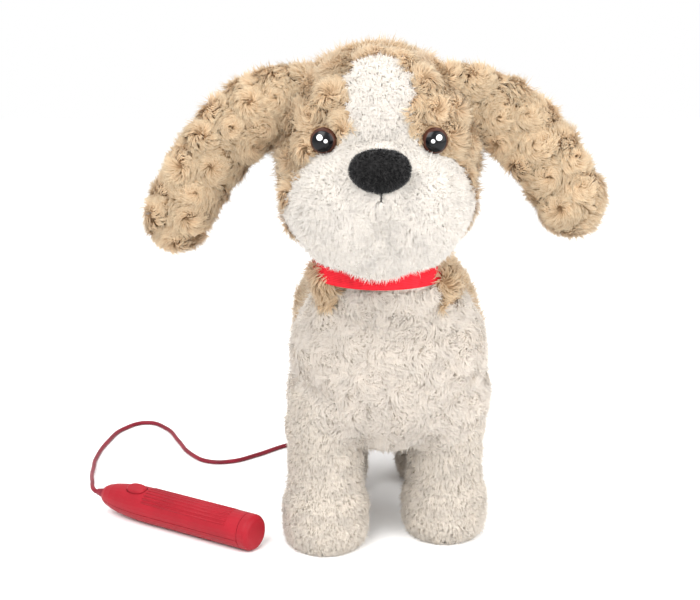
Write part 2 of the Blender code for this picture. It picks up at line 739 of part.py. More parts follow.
def add_links(puppy, looks):
    """The rods that tie each side's front leg to its rear leg, so the two swing together."""
    length = REAR_HIP_Y - FRONT_HIP_Y
    for side, word in ((1, "left"), (-1, "right")):
        lean = side * STRIDE_REST
        rear_pin = (
            0,
            REAR_HIP_Y - LINK_ARM * math.sin(lean),
            HIP_HEIGHT + LINK_ARM * math.cos(lean),
        )
        outline = bar_outline(-length - 0.0035, 0.0035, 0.0035)
        faces = sorted((side * (BAR_OUTER + CLIP_GAP), side * (BAR_OUTER + CLIP_GAP + LINK_THICK)))
        link = add_object(
            "link_rod_" + word,
            loft([[(x, z, y) for y, z in outline] for x in faces]),
            looks["gear_white"],
            puppy,
            rear_pin,
        )
        for k, y in enumerate((0.0, -length)):
            hole = rod(LINK_PIN_RADIUS + RUNNING_GAP, -0.05, 0.05, "X", 12)
            at = (0, rear_pin[1] + y, rear_pin[2])
            cut(link, add_tool(f"link_hole_{word}_{k}", hole, puppy, at))


def add_axles(puppy, looks):
    for word, hip_y in (("front", FRONT_HIP_Y), ("rear", REAR_HIP_Y)):
        shape = rod(AXLE_RADIUS, -BAR_OUTER - 0.0020, BAR_OUTER + 0.0020, "X", 16)
        add_object(f"hip_axle_{word}", shape, looks["steel"], puppy, (0, hip_y, HIP_HEIGHT))


# ------------------------------------------------------------------ tail
TAIL_PIVOT = Vector((0.0, 0.0790, 0.1130))
TAIL_BEND = ((0.003, 0.0), (0.014, 0.0), (0.024, 0.002), (0.034, 0.010), (0.043, 0.024), (0.047, 0.040))


def tail_path(first, last):
    return [Vector((0, back, up)) for back, up in TAIL_BEND[first:last]]


def add_tail(puppy, looks):
    pivot = add_pivot("tail_pivot", puppy, TAIL_PIVOT)
    up = Vector((1, 0, 0))
    core = add_object(
        "tail_core", rod(0.0045, -0.0055, 0.0055, "Z", 20), looks["shell_grey"], pivot
    )
    thin = [0.0028] * 6
    unite(core, add_tool("tail_stem", sweep(tail_path(0, 6), thin, thin, up, 10), pivot))
    cut(core, add_tool("tail_bore", rod(0.0015 + RUNNING_GAP, -0.02, 0.02, "Z", 12), pivot))
    outer = [0.0075, 0.0100, 0.0105, 0.0085, 0.0040]
    end = Vector((0, 0.0475, 0.052))
    route = [Vector((0, 0.0260, 0.0030)), *tail_path(3, 6), end]
    plush = add_object(
        "tail_plush", sweep(route, outer, outer, up, 16), looks["plush_tan"], pivot
    )
    roomy = [0.0028 + GAP] * 7
    inside = [*tail_path(0, 6), Vector((0, 0.0472, 0.0405))]
    cut(plush, add_tool("tail_stem_room", sweep(inside, roomy, roomy, up, 10), pivot))
    add_tail_bracket(puppy, looks)


def add_tail_bracket(puppy, looks):
    x, y, z = TAIL_PIVOT
    low = (-0.0055, SHELL_Y[1] + GAP, z - 0.0100)
    high = (0.0055, y + 0.0055, z + 0.0100)
    bracket = add_object("tail_bracket", block(low, high), looks["shell_grey"], puppy)
    mouth = block((-0.02, SHELL_Y[1] + 0.0030, z - 0.0062), (0.02, y + 0.02, z + 0.0062))
    hole = rod(0.0015 + GAP, z - 0.02, z + 0.02, "Z", 12)
    cut(
        bracket,
        add_tool("bracket_mouth", mouth, puppy),
        add_tool("bracket_hole", hole, puppy, (x, y, 0)),
    )
    pin = rod(0.0015, z - 0.0115, z + 0.0115, "Z", 12)
    add_object("tail_pin", pin, looks["steel"], puppy, (x, y, 0))


# ------------------------------------------------------------------ handset
NOSE_START = 0.078
TIP_RADIUS = 0.0034
CAP_SEAM = 0.0070
CAP_SKIRT = 0.0125
CAP_BORE = 0.0074
BUTTON_X = 0.0885
BUTTON_TRAVEL = 0.0012
SWITCH_TOP = 0.0052
BATTERY_DROP = -0.0018
BATTERY_START = 0.0065
RELIEF_END = 0.1230


def handset_radius(x):
    share = max(0.0, (x - NOSE_START) / (HANDSET_LENGTH - NOSE_START))
    return TIP_RADIUS + (HANDSET_RADIUS - TIP_RADIUS) * math.sqrt(max(0.0, 1 - share * share))


def shell_profile():
    """The two shell halves together, from the end cap's seam to the tip."""
    stations = [CAP_SEAM + GAP, 0.040, NOSE_START, 0.086, 0.094, 0.102, 0.108, 0.113, 0.1158]
    return [(x, handset_radius(x)) for x in (*stations, HANDSET_LENGTH)]


def room_profile():
    """The room inside the shells, open at the cap's end."""
    stations = [0.0, 0.040, NOSE_START, 0.088, 0.098, 0.1045]
    return [(x, handset_radius(x) - HANDSET_WALL) for x in stations] + [(0.1150, 0.0016)]


def cap_profile():
    """The end cap: a rounded butt, then the skirt that goes up inside the shells."""
    corner = 0.0035
    butt = [
        (corner - corner * math.cos(t), HANDSET_RADIUS - corner + corner * math.sin(t))
        for t in (0.0, 0.4, 0.8, 1.2, math.pi / 2)
    ]
    skirt = HANDSET_RADIUS - HANDSET_WALL - GAP
    return [*butt, (CAP_SEAM, HANDSET_RADIUS), (CAP_SEAM, skirt), (CAP_SKIRT, skirt)]


def half_space(side, reach=0.2):
    """A box that covers everything on one side of the handset's parting plane."""
    edges = sorted((side * GAP / 2, -side * reach))
    return block((-reach, -reach, edges[0]), (reach, reach, edges[1]))


def add_handset(puppy, looks):
    handset = add_pivot(
        "handset",
        puppy,
        (HANDSET_BUTT.x, HANDSET_BUTT.y, HANDSET_RADIUS),
        (HANDSET_ROLL, 0, HANDSET_TURN),
    )
    room = add_tool("handset_room", turned(room_profile()), handset)
    halves = {}
    for side, word in ((1, "top"), (-1, "bottom")):
        outside = turned(shell_profile(), "X", 28)
        half = add_object("handset_shell_" + word, outside, looks["plastic_red"], handset)
        cut(half, room, add_tool("handset_split_" + word, half_space(side), handset))
        halves[word] = half
    cap = add_object(
        "handset_end_cap", turned(cap_profile(), "X", 28), looks["plastic_red"], handset
    )
    cut(cap, add_tool("cap_bore", rod(CAP_BORE, 0.0022, 0.02), handset))
    add_button(halves["top"], handset, looks)
    add_cells(handset, looks)
    relief = [(HANDSET_LENGTH + GAP, 0.0028), (0.1195, 0.0028), (RELIEF_END, 0.0019)]
    add_object("handset_strain_relief", turned(relief, "X", 16), looks["cord_red"], handset)


def add_button(top_shell, handset, looks):
    cap_low, cap_high = 0.0076, HANDSET_RADIUS + 0.0008
    stem_low = SWITCH_TOP + BUTTON_TRAVEL + 0.0002
    outline = oval(0.0070, 0.0042, 2.4, 20)
    rings = [
        [(x * s, y * s, z) for x, y in outline]
        for z, s in ((cap_low, 1.0), (cap_high - 0.0008, 1.0), (cap_high, 0.86))
    ]
    button = add_object(
        "handset_button", loft(rings), looks["plastic_red"], handset, (BUTTON_X, 0, 0)
    )
    stem = rod(0.0016, stem_low, cap_low + 0.001, "Z", 12)
    unite(button, add_tool("button_stem", stem, handset, (BUTTON_X, 0, 0)))
    grow = 1 + 0.0003 / 0.0042
    pocket = loft([[(x * grow, y * grow, z) for x, y in outline] for z in (0.004, 0.02)])
    cut(top_shell, add_tool("button_pocket", pocket, handset, (BUTTON_X, 0, 0)))
    board = block(
        (BUTTON_X - 0.008, -0.0050, SWITCH_TOP - 0.0010), (BUTTON_X + 0.008, 0.0050, SWITCH_TOP)
    )
    add_object("switch_board", board, looks["board_green"], handset)


def add_cells(handset, looks):
    radius, length = BATTERY
    for k, word in enumerate(("rear", "front")):
        start = BATTERY_START + k * (length + GAP)
        profile = [(start, radius), (start + length - 0.0010, radius)]
        profile += [(start + length - 0.0010, 0.0019), (start + length, 0.0019)]
        at = (0, 0, BATTERY_DROP)
        add_object("battery_" + word, turned(profile, "X", 20), looks["cell_wrap"], handset, at)
    add_spring(handset, looks)


def add_spring(handset, looks):
    """The coil spring in the end cap, which presses the cells forward."""
    turns, radius, wire = 3, 0.0032, 0.0004
    low, high = 0.0022 + wire + GAP, BATTERY_START - wire - GAP
    curve = bpy.data.curves.new("battery_spring", "CURVE")
    curve.dimensions = "3D"
    curve.bevel_depth = wire
    curve.bevel_resolution = 0
    curve.use_fill_caps = True
    count = turns * 12 + 1
    spline = curve.splines.new("POLY")
    spline.points.add(count - 1)
    for k in range(count):
        angle = 2 * math.pi * k / 12
        x = low + (high - low) * k / (count - 1)
        spline.points[k].co = (x, radius * math.cos(angle), radius * math.sin(angle), 1.0)
    curve.materials.append(looks["steel"])
    spring = bpy.data.objects.new("battery_spring", curve)
    bpy.context.scene.collection.objects.link(spring)
    spring.parent = handset
    spring.location = (0, 0, BATTERY_DROP)


# ------------------------------------------------------------------ lead
FLOOR = CORD_RADIUS + 0.0001
LEAD_FROM_GLAND = (
    (0.0000, 0.1024, 0.0820),
    (0.0000, 0.1075, 0.0818),
    (0.0008, 0.1140, 0.0790),
    (0.0030, 0.1200, 0.0720),
    (0.0065, 0.1245, 0.0600),
    (0.0095, 0.1275, 0.0450),
    (0.0130, 0.1270, 0.0300),
    (0.0185, 0.1215, 0.0165),
    (0.0255, 0.1160, 0.0090),
    (0.0330, 0.1136, 0.0075),
)
LEAD_TO_HANDSET = (
    (0.0390, 0.1094, FLOOR),
    (0.0300, 0.1068, FLOOR),
    (0.0120, 0.1120, FLOOR),
    (-0.0120, 0.1200, FLOOR),
    (-0.0380, 0.1180, FLOOR),
    (-0.0617, 0.1066, FLOOR),
    (-0.0848, 0.0847, FLOOR),
    (-0.1000, 0.0735, FLOOR),
    (-0.1150, 0.0730, FLOOR),
    (-0.1290, 0.0880, FLOOR),
    (-0.1400, 0.1140, FLOOR),
    (-0.1520, 0.1410, FLOOR),
    (-0.1665, 0.1525, FLOOR),
    (-0.1810, 0.1400, FLOOR),
    (-0.1890, 0.1130, FLOOR),
    (-0.1925, 0.0780, FLOOR),
    (-0.1915, 0.0550, FLOOR),
    (-0.1885, 0.0380, 0.0020),
    (-0.1862, 0.0240, 0.0050),
    (-0.1857, 0.0120, 0.0085),
    (-0.1846, 0.0030, 0.0106),
)


def smooth_line(points, step):
    """Points about step apart along a Catmull-Rom curve through the given ones."""
    places = [Vector(point) for point in points]
    padded = [2 * places[0] - places[1], *places, 2 * places[-1] - places[-2]]
    line = []
    for k in range(1, len(padded) - 2):
        before, start, end, after = padded[k - 1 : k + 3]
        count = max(1, round((end - start).length / step))
        for i in range(count):
            t = i / count
            line.append(
                0.5
                * (
                    2 * start
                    + (end - before) * t
                    + (2 * before - 5 * start + 4 * end - after) * t**2
                    + (3 * start - before - 3 * end + after) * t**3
                )
            )
    line.append(places[-1])
    return [Vector((x, y, max(z, FLOOR))) for x, y, z in line]


def add_cord(name, points, puppy, looks):
    line = smooth_line(points, 0.0075)
    curve = bpy.data.curves.new(name, "CURVE")
    curve.dimensions = "3D"
    curve.bevel_depth = CORD_RADIUS
    curve.bevel_resolution = 2
    curve.use_fill_caps = True
    spline = curve.splines.new("POLY")
    spline.points.add(len(line) - 1)
    for vertex, point in zip(spline.points, line):
        vertex.co = (*point, 1.0)
    curve.materials.append(looks["cord_red"])
    cord = bpy.data.objects.new(name, curve)
    bpy.context.scene.collection.objects.link(cord)
    cord.parent = puppy


def handset_entry():
    """The lead's last two points, in line with the handset's strain relief."""
    along = Vector((math.cos(HANDSET_TURN), math.sin(HANDSET_TURN), 0))
    butt = Vector((*HANDSET_BUTT, HANDSET_RADIUS))
    return [butt + along * (RELIEF_END + 0.0045), butt + along * (RELIEF_END + GAP)]


def add_lead(puppy, looks):
    gland = [(SHELL_Y[1] + GAP, 0.0060), (0.0690, 0.0060), (0.0690, 0.0040)]
    gland += [(0.0930, 0.0040), (0.0960, 0.0034), (0.1020, 0.0019)]
    add_object("cord_gland", turned(gland, "Y", 16), looks["cord_red"], puppy, (0, 0, 0.082))
    add_cord("lead_cord_near", LEAD_FROM_GLAND, puppy, looks)
    add_cord("lead_cord_far", [*LEAD_TO_HANDSET, *handset_entry()], puppy, looks)
    half = 2 * CORD_RADIUS
    tall = 4 * CORD_RADIUS + 0.0002
    profile = [
        (COIL_RADIUS - half, 0.0012),
        (COIL_RADIUS - half + 0.0012, 0.0),
        (COIL_RADIUS + half - 0.0012, 0.0),
        (COIL_RADIUS + half, 0.0012),
        (COIL_RADIUS + half, tall - 0.0012),
        (COIL_RADIUS + half - 0.0012, tall),
        (COIL_RADIUS - half + 0.0012, tall),
        (COIL_RADIUS - half, tall - 0.0012),
    ]
    add_object(
        "lead_coil", hoop(profile, 24), looks["cord_red"], puppy, (COIL_CENTRE.x, COIL_CENTRE.y, 0)
    )


# ------------------------------------------------------------------ assembly
def main():
    for obj in list(bpy.data.objects):
        bpy.data.objects.remove(obj, do_unlink=True)
    looks = make_looks()
    puppy = add_pivot("puppy", None, (PUPPY_X, PUPPY_Y, 0))
    add_torso(puppy, looks)
    add_shell(puppy, looks)
    add_drive(puppy, looks)
    add_electrics(puppy, looks)
    add_axles(puppy, looks)
    for word, side, hip_y in LEG_PARTS:
        add_leg(word, side, hip_y, puppy, looks)
    add_links(puppy, looks)
    add_neck_post(puppy, looks)
    add_head(puppy, looks)
    add_ears(puppy, looks)
    add_collar(puppy, looks)
    add_tail(puppy, looks)
    add_handset(puppy, looks)
    add_lead(puppy, looks)


main()
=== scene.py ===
# %% [markdown]
# # A walking plush puppy and its wired handset
# The moving parts come from the engineering model, which is loaded as a fixed frame. This script
# adds what a toy maker would add last: the stuffed skins, their pile, the face, the ribbon collar,
# the lead, and the finish of every plastic and metal piece.

# %% Load the frame
import math

import bmesh
import bpy
import numpy as np
from mathutils import Matrix, Vector
from mathutils.kdtree import KDTree


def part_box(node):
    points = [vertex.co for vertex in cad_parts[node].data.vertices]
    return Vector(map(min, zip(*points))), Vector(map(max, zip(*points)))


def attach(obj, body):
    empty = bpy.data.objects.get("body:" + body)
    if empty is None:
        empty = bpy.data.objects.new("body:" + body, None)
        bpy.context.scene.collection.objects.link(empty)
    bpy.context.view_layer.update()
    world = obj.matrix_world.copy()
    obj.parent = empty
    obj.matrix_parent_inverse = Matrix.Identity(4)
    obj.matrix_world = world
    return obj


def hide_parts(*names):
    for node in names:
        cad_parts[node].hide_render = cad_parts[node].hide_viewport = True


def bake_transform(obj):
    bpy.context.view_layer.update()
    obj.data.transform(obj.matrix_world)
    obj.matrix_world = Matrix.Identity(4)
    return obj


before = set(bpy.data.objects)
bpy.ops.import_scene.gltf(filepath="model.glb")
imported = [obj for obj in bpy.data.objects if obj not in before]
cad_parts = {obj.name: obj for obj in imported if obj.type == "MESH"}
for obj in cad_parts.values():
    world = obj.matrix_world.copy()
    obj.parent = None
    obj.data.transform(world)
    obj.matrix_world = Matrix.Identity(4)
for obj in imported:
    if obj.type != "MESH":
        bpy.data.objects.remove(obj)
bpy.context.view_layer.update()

# %% [markdown]
# Lengths on the puppy are easiest to read in millimetres from its own centre line, so one helper
# turns them into the frame's metres. The centre line is the middle of the torso, and the front
# hip axle says where the puppy stands from front to back.

# %% The puppy's own millimetres
FRONT_HIP_FROM_CENTRE = -44.0


def middle_of(node):
    low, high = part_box(node)
    return (low + high) / 2


puppy_origin = Vector((middle_of("torso_plush").x, middle_of("hip_axle_front").y, 0.0))
puppy_origin.y -= FRONT_HIP_FROM_CENTRE / 1000


def at(x, y, z):
    return puppy_origin + Vector((x, y, z)) / 1000


def own_millimetres(points):
    return (points - np.array(puppy_origin)) * 1000


print("puppy's centre on the floor:", [round(value, 4) for value in puppy_origin])

# %% [markdown]
# ## Camera
# A long lens a metre away, looking a little down, keeps a small toy's proportions true. It is made
# before anything else, because the lead's unseen length has to lie where this camera can't see it.

# %% Camera
camera_data = bpy.data.cameras.new("studio_camera")
camera_data.lens = 85
camera_data.sensor_width = 36
camera = bpy.data.objects.new("studio_camera", camera_data)
bpy.context.scene.collection.objects.link(camera)
camera.location = at(-20, -977.6, 395.9)
camera.rotation_euler = (math.radians(75), 0, 0)
bpy.context.scene.camera = camera
print("camera at", [round(value, 3) for value in camera.location])

# %% [markdown]
# ## Finishes
# Each finish is a Principled shader with its own pattern nodes. A small helper adds and links a
# node in one line, so a material reads from top to bottom like a recipe.


# %% Node helpers
def new_finish(name, roughness=0.6, metallic=0.0, **sockets):
    look = bpy.data.materials.new(name)
    look.use_nodes = True
    shader = look.node_tree.nodes["Principled BSDF"]
    shader.inputs["Roughness"].default_value = roughness
    shader.inputs["Metallic"].default_value = metallic
    for socket, value in sockets.items():
        shader.inputs[socket.replace("_", " ")].default_value = value
    return look, look.node_tree, shader


def add_node(tree, kind, inputs=None, **settings):
    node = tree.nodes.new(kind)
    for name, value in settings.items():
        setattr(node, name, value)
    for name, value in (inputs or {}).items():
        if isinstance(value, bpy.types.NodeSocket):
            tree.links.new(value, node.inputs[name])
        else:
            node.inputs[name].default_value = value
    return node


def colour_ramp(tree, factor, stops):
    ramp = add_node(tree, "ShaderNodeValToRGB", {"Fac": factor})
    points = ramp.color_ramp.elements
    while len(points) < len(stops):
        points.new(0.5)
    for point, (place, colour) in zip(points, stops):
        point.position = place
        point.color = (*colour, 1.0)
    return ramp.outputs["Color"]


def own_noise(tree, scale, detail=3.0):
    """Noise on the piece's own coordinates, in metres, so it keeps its size on any piece."""
    place = add_node(tree, "ShaderNodeTexCoord").outputs["Object"]
    return add_node(
        tree, "ShaderNodeTexNoise", {"Vector": place, "Scale": scale, "Detail": detail}
    )


def add_bump(tree, shader, height, strength, distance):
    bump = add_node(
        tree, "ShaderNodeBump", {"Height": height, "Strength": strength, "Distance": distance}
    )
    tree.links.new(bump.outputs["Normal"], shader.inputs["Normal"])


# %% [markdown]
# Moulded plastic is never one even colour: the mould leaves a fine grain, and handling polishes
# some patches. Large soft noise moves the roughness, and tiny noise gives the grain as bump.


# %% Moulded plastic
def moulded_plastic(name, colour, roughness, grain=2600.0, depth=0.00003, coat=0.0):
    look, tree, shader = new_finish(name, roughness, Coat_Weight=coat)
    patches = own_noise(tree, 55.0).outputs["Fac"]
    darker = tuple(value * 0.86 for value in colour)
    lighter = tuple(min(1.0, value * 1.08) for value in colour)
    shade = colour_ramp(tree, patches, [(0.3, darker), (0.7, lighter)])
    tree.links.new(shade, shader.inputs["Base Color"])
    spread = add_node(
        tree,
        "ShaderNodeMapRange",
        {"Value": patches, "To Min": roughness * 0.85, "To Max": min(1.0, roughness * 1.2)},
    )
    tree.links.new(spread.outputs["Result"], shader.inputs["Roughness"])
    add_bump(tree, shader, own_noise(tree, grain, 2.0).outputs["Fac"], 0.35, depth)
    return look


def metal(name, colour, roughness):
    look, tree, shader = new_finish(name, roughness, 1.0)
    streaks = own_noise(tree, 420.0, 5.0).outputs["Fac"]
    darker = tuple(value * 0.8 for value in colour)
    tree.links.new(
        colour_ramp(tree, streaks, [(0.35, darker), (0.65, colour)]), shader.inputs["Base Color"]
    )
    add_bump(tree, shader, streaks, 0.2, 0.00002)
    return look


def set_finish(look, *nodes):
    for node in nodes:
        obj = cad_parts[node]
        obj.data.materials.clear()
        obj.data.materials.append(look)


handset_red = moulded_plastic("handset_red", (0.30, 0.006, 0.015), 0.5)
grey_plastic = moulded_plastic("grey_plastic", (0.50, 0.51, 0.53), 0.5)
white_acetal = moulded_plastic("white_acetal", (0.82, 0.82, 0.78), 0.42)
sole_rubber = moulded_plastic("sole_rubber", (0.035, 0.034, 0.034), 0.85, 900.0, 0.0001)
cell_wrap = moulded_plastic("cell_wrap", (0.05, 0.05, 0.06), 0.35)
board_green = moulded_plastic("board_green", (0.02, 0.17, 0.07), 0.45)
plain_steel = metal("plain_steel", (0.60, 0.60, 0.62), 0.32)
LEG_WORDS = ("front_left", "front_right", "rear_left", "rear_right")
handset_red.node_tree.nodes["Principled BSDF"].inputs["Specular IOR Level"].default_value = 0.22
set_finish(handset_red, "handset_shell_top", "handset_shell_bottom", "handset_end_cap")
set_finish(handset_red, "handset_button")
set_finish(grey_plastic, "torso_shell_left", "torso_shell_right", "gearbox_plate", "neck_post")
set_finish(grey_plastic, "tail_core", "tail_bracket", *["leg_core_" + w for w in LEG_WORDS])
set_finish(white_acetal, "reduction_gear_first", "reduction_gear_second", "output_gear")
set_finish(white_acetal, "crank_disc_left", "crank_disc_right", "link_rod_left", "link_rod_right")
set_finish(sole_rubber, *["foot_pad_" + w for w in LEG_WORDS])
set_finish(cell_wrap, "battery_rear", "battery_front", "speaker")
set_finish(board_green, "circuit_board", "switch_board")
set_finish(plain_steel, "shell_screw_1", "shell_screw_2", "shell_screw_3", "drive_motor")
set_finish(plain_steel, "motor_pinion", "crank_shaft", "hip_axle_front", "hip_axle_rear")
set_finish(plain_steel, "tail_pin", "battery_spring")
print("finished nodes:", sum(1 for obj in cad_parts.values() if obj.data.materials))

# %% [markdown]
# ## Lead
# The lead is one flexible cord: out of the gland under the tail, down to the floor, two and a half
# turns of spare length lying flat behind the puppy, then an easy wander round to the handset. It
# lifts off the floor over its last few centimetres, because it leaves the handset's nose straight.
# A Bezier curve with automatic handles passes smoothly through each chosen point.

# %% Route of the lead
CORD_RADIUS = 1.4
ON_FLOOR = CORD_RADIUS + 0.1
COIL_MIDDLE = (36.0, 130.0)
COIL_FIRST_RADIUS = 13.2
COIL_STEP = 2.9
COIL_STARTS, COIL_FROM, COIL_TO, COIL_EVERY = 345, 350, 1155, 25
OVER_THE_COIL = ((262, 18.6, 4.6), (292, 16.2, 4.5), (322, 13.8, 3.2))
ENTRY_FROM_MIDDLE, STRAIGHT_AT_ENTRY = 3.2, 1.8
GLAND_MOUTH = (0.0, 102.0, 82.0)
FROM_GLAND = (
    GLAND_MOUTH,
    (0.0, 107.5, 81.8),
    (0.8, 114.0, 79.0),
    (2.8, 119.5, 72.0),
    (5.5, 122.5, 60.0),
    (8.5, 123.0, 45.0),
    (12.0, 121.0, 29.0),
    (17.5, 116.5, 14.5),
    (24.5, 112.8, 6.4),
)
TO_HANDSET = (
    (24.0, 149.5, ON_FLOOR),
    (8.0, 145.0, ON_FLOOR),
    (-8.0, 136.5, ON_FLOOR),
    (-24.0, 126.0, ON_FLOOR),
    (-42.0, 116.0, ON_FLOOR),
    (-61.7, 106.6, ON_FLOOR),
    (-84.8, 84.7, ON_FLOOR),
    (-100.0, 73.5, ON_FLOOR),
    (-115.0, 73.0, ON_FLOOR),
    (-129.0, 88.0, ON_FLOOR),
    (-140.0, 114.0, ON_FLOOR),
    (-152.0, 141.0, ON_FLOOR),
    (-166.5, 152.5, ON_FLOOR),
    (-181.0, 140.0, ON_FLOOR),
    (-189.0, 113.0, ON_FLOOR),
    (-192.5, 78.0, ON_FLOOR),
    (-190.9, 58.0, 3.0),
    (-189.1, 40.0, 5.5),
    (-186.9, 25.0, 8.5),
    (-184.5, 12.0, 10.5),
    (-183.4, 4.5, 11.1),
    (-182.0, -1.2, 11.2),
)


def coil_turns():
    """From above, over the outer turns to the innermost one, then outwards along the floor."""
    turns = list(OVER_THE_COIL)
    for angle in range(COIL_FROM, COIL_TO, COIL_EVERY):
        radius = COIL_FIRST_RADIUS + COIL_STEP * (angle - COIL_STARTS) / 360
        turns.append((angle, radius, ON_FLOOR))
    return [
        (
            COIL_MIDDLE[0] + radius * math.cos(math.radians(angle)),
            COIL_MIDDLE[1] + radius * math.sin(math.radians(angle)),
            height,
        )
        for angle, radius, height in turns
    ]


cap_middle, relief_middle = middle_of("handset_end_cap"), middle_of("handset_strain_relief")
handset_line = (relief_middle - cap_middle).normalized()
handset_entry = relief_middle + handset_line * ENTRY_FROM_MIDDLE / 1000
route = [at(*point) for point in (*FROM_GLAND, *coil_turns(), *TO_HANDSET)]
route += [handset_entry + handset_line * STRAIGHT_AT_ENTRY / 1000, handset_entry]
print("lead points:", len(route))


# %% Cord finish and curve
def cord_finish():
    look, tree, shader = new_finish("lead_crimson", 0.48, Specular_IOR_Level=0.3)
    patches = own_noise(tree, 90.0).outputs["Fac"]
    tree.links.new(
        colour_ramp(tree, patches, [(0.3, (0.15, 0.004, 0.014)), (0.7, (0.23, 0.006, 0.021))]),
        shader.inputs["Base Color"],
    )
    add_bump(tree, shader, own_noise(tree, 1500.0).outputs["Fac"], 0.3, 0.00005)
    return look


lead_crimson = cord_finish()
lead_curve = bpy.data.curves.new("lead", "CURVE")
lead_curve.dimensions = "3D"
lead_curve.bevel_depth = CORD_RADIUS / 1000
lead_curve.bevel_resolution = 3
lead_curve.use_fill_caps = True
spline = lead_curve.splines.new("BEZIER")
spline.resolution_u = 6
spline.bezier_points.add(len(route) - 1)
for knot, point in zip(spline.bezier_points, route):
    knot.co = point
    knot.handle_left_type = knot.handle_right_type = "AUTO"
lead_curve.materials.append(lead_crimson)
lead = bpy.data.objects.new("lead", lead_curve)
bpy.context.scene.collection.objects.link(lead)
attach(lead, "chassis")
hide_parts("lead_cord_near", "lead_coil", "lead_cord_far")
set_finish(lead_crimson, "cord_gland", "handset_strain_relief")

# %% [markdown]
# ## Stuffed skins
# A stuffed toy's body is cloth pulled round by its filling, so its form has no hard edge. It is
# built like clay: overlapping round lumps, joined by a voxel remesh and then smoothed.
# The pile that is planted on a skin later adds a few millimetres all round, so the skins are
# made that much smaller than the finished toy.


# %% Soft lumps
def mirrored(lumps):
    """Adds each lump's twin on the other side of the centre line."""
    return lumps + [((-x, y, z), size) for (x, y, z), size in lumps if x]


def stuffed_skin(name, lumps, voxel=3.0, rounds=6, floor=None):
    bm = bmesh.new()
    for place, size in lumps:
        made = bmesh.ops.create_icosphere(bm, subdivisions=3, radius=0.001)
        bmesh.ops.scale(bm, vec=Vector(size), verts=made["verts"])
        bmesh.ops.translate(bm, vec=at(*place), verts=made["verts"])
    mesh = bpy.data.meshes.new(name)
    bm.to_mesh(mesh)
    bm.free()
    skin = bpy.data.objects.new(name, mesh)
    bpy.context.scene.collection.objects.link(skin)
    remesh = skin.modifiers.new("join", "REMESH")
    remesh.mode = "VOXEL"
    remesh.voxel_size = voxel / 1000
    soften = skin.modifiers.new("soften", "SMOOTH")
    soften.factor = 0.5
    soften.iterations = rounds
    bake_modifiers(skin)
    if floor is not None:
        flatten_underside(skin, floor / 1000)
    skin.data.shade_smooth()
    return skin


def bake_modifiers(obj):
    """Replaces the object's mesh by what its modifiers make of it."""
    graph = bpy.context.evaluated_depsgraph_get()
    final = bpy.data.meshes.new_from_object(obj.evaluated_get(graph))
    obj.modifiers.clear()
    obj.data = final
    final.name = obj.name


def flatten_underside(skin, height):
    bm = bmesh.new()
    bm.from_mesh(skin.data)
    cut = bmesh.ops.bisect_plane(
        bm,
        geom=bm.verts[:] + bm.edges[:] + bm.faces[:],
        plane_co=(0, 0, height),
        plane_no=(0, 0, -1),
        clear_outer=True,
    )
    edges = [item for item in cut["geom_cut"] if isinstance(item, bmesh.types.BMEdge)]
    bmesh.ops.contextual_create(bm, geom=edges)
    bm.to_mesh(skin.data)
    bm.free()


# %% Head skin
head_skin = stuffed_skin(
    "head_skin",
    mirrored(
        [
            ((0, -66, 240), (53, 49, 54)),
            ((0, -70, 262), (40, 38, 32)),
            ((30, -84, 212), (21, 24, 24)),
            ((20, -112, 213), (24.5, 28, 28)),
            ((0, -112, 226), (26, 27, 23)),
            ((0, -106, 198.5), (28, 26, 18.5)),
            ((0, -118, 232), (18, 20, 14)),
        ]
    ),
)
print("head skin faces:", len(head_skin.data.polygons))

# %% Torso skin
torso_skin = stuffed_skin(
    "torso_skin",
    mirrored(
        [
            ((0, -48, 112), (54, 37, 55)),
            ((24, -46, 116), (32, 34, 38)),
            ((28, -42, 86), (30, 32, 32)),
            ((26, -50, 138), (22, 26, 21)),
            ((0, -4, 108), (54.5, 62, 51)),
            ((23, 0, 84), (31, 70, 30)),
            ((20, 50, 108), (35, 38, 46)),
            ((0, 62, 110), (42, 32, 40)),
            ((0, -54, 160), (33, 33, 30)),
            ((0, -57, 180), (33, 32, 18)),
        ]
    )
    + [((-37, -61, 163), (9, 14, 12)), ((31, -61, 163), (9, 14, 12))],
    rounds=8,
)
print("torso skin faces:", len(torso_skin.data.polygons))

# %% [markdown]
# Each leg is its own stuffed tube over a plastic bar. Its foot is where the frame puts the sole
# pad, and its top goes up inside the body, so the two furs meet without a gap.


# %% Leg skins
HIP_HEIGHT = middle_of("hip_axle_front").z * 1000


def leg_lumps(word):
    foot = own_millimetres(np.array(middle_of("foot_pad_" + word)))
    hip = own_millimetres(np.array(middle_of("hip_axle_" + word.split("_")[0])))
    lumps = []
    for height, ahead, size in (
        (84, 0.0, (20, 25, 20)),
        (70, 0.0, (22, 25, 20)),
        (52, 0.0, (20.5, 23, 20)),
        (36, 0.5, (20.5, 23, 18)),
        (22, 2.0, (24, 26, 16)),
        (11, 3.5, (24, 28, 12)),
        (5, 3.5, (22.5, 26.5, 10)),
    ):
        up = height / HIP_HEIGHT
        y = foot[1] * (1 - up) + hip[1] * up
        lumps.append(((foot[0], y - ahead, height), size))
    return lumps


leg_skins = {
    word: stuffed_skin("leg_skin_" + word, leg_lumps(word), rounds=5, floor=1.0)
    for word in LEG_WORDS
}
print("leg skins:", len(leg_skins))

# %% Ear and tail skins
EAR_LUMPS = (
    ((44, -69, 270), (15, 10, 15)),
    ((55, -70, 266), (17, 9, 18)),
    ((67, -71, 260), (18.5, 9, 19)),
    ((80, -73, 250), (19, 8.5, 19.5)),
    ((91, -75, 238), (18.5, 8.5, 18.5)),
    ((100, -77, 225), (18, 8.5, 18)),
    ((107, -79, 212), (17.5, 8, 17.5)),
    ((112, -80, 202), (15.5, 7.5, 15.5)),
)
EAR_LENGTHS = {"left": 7, "right": 8}


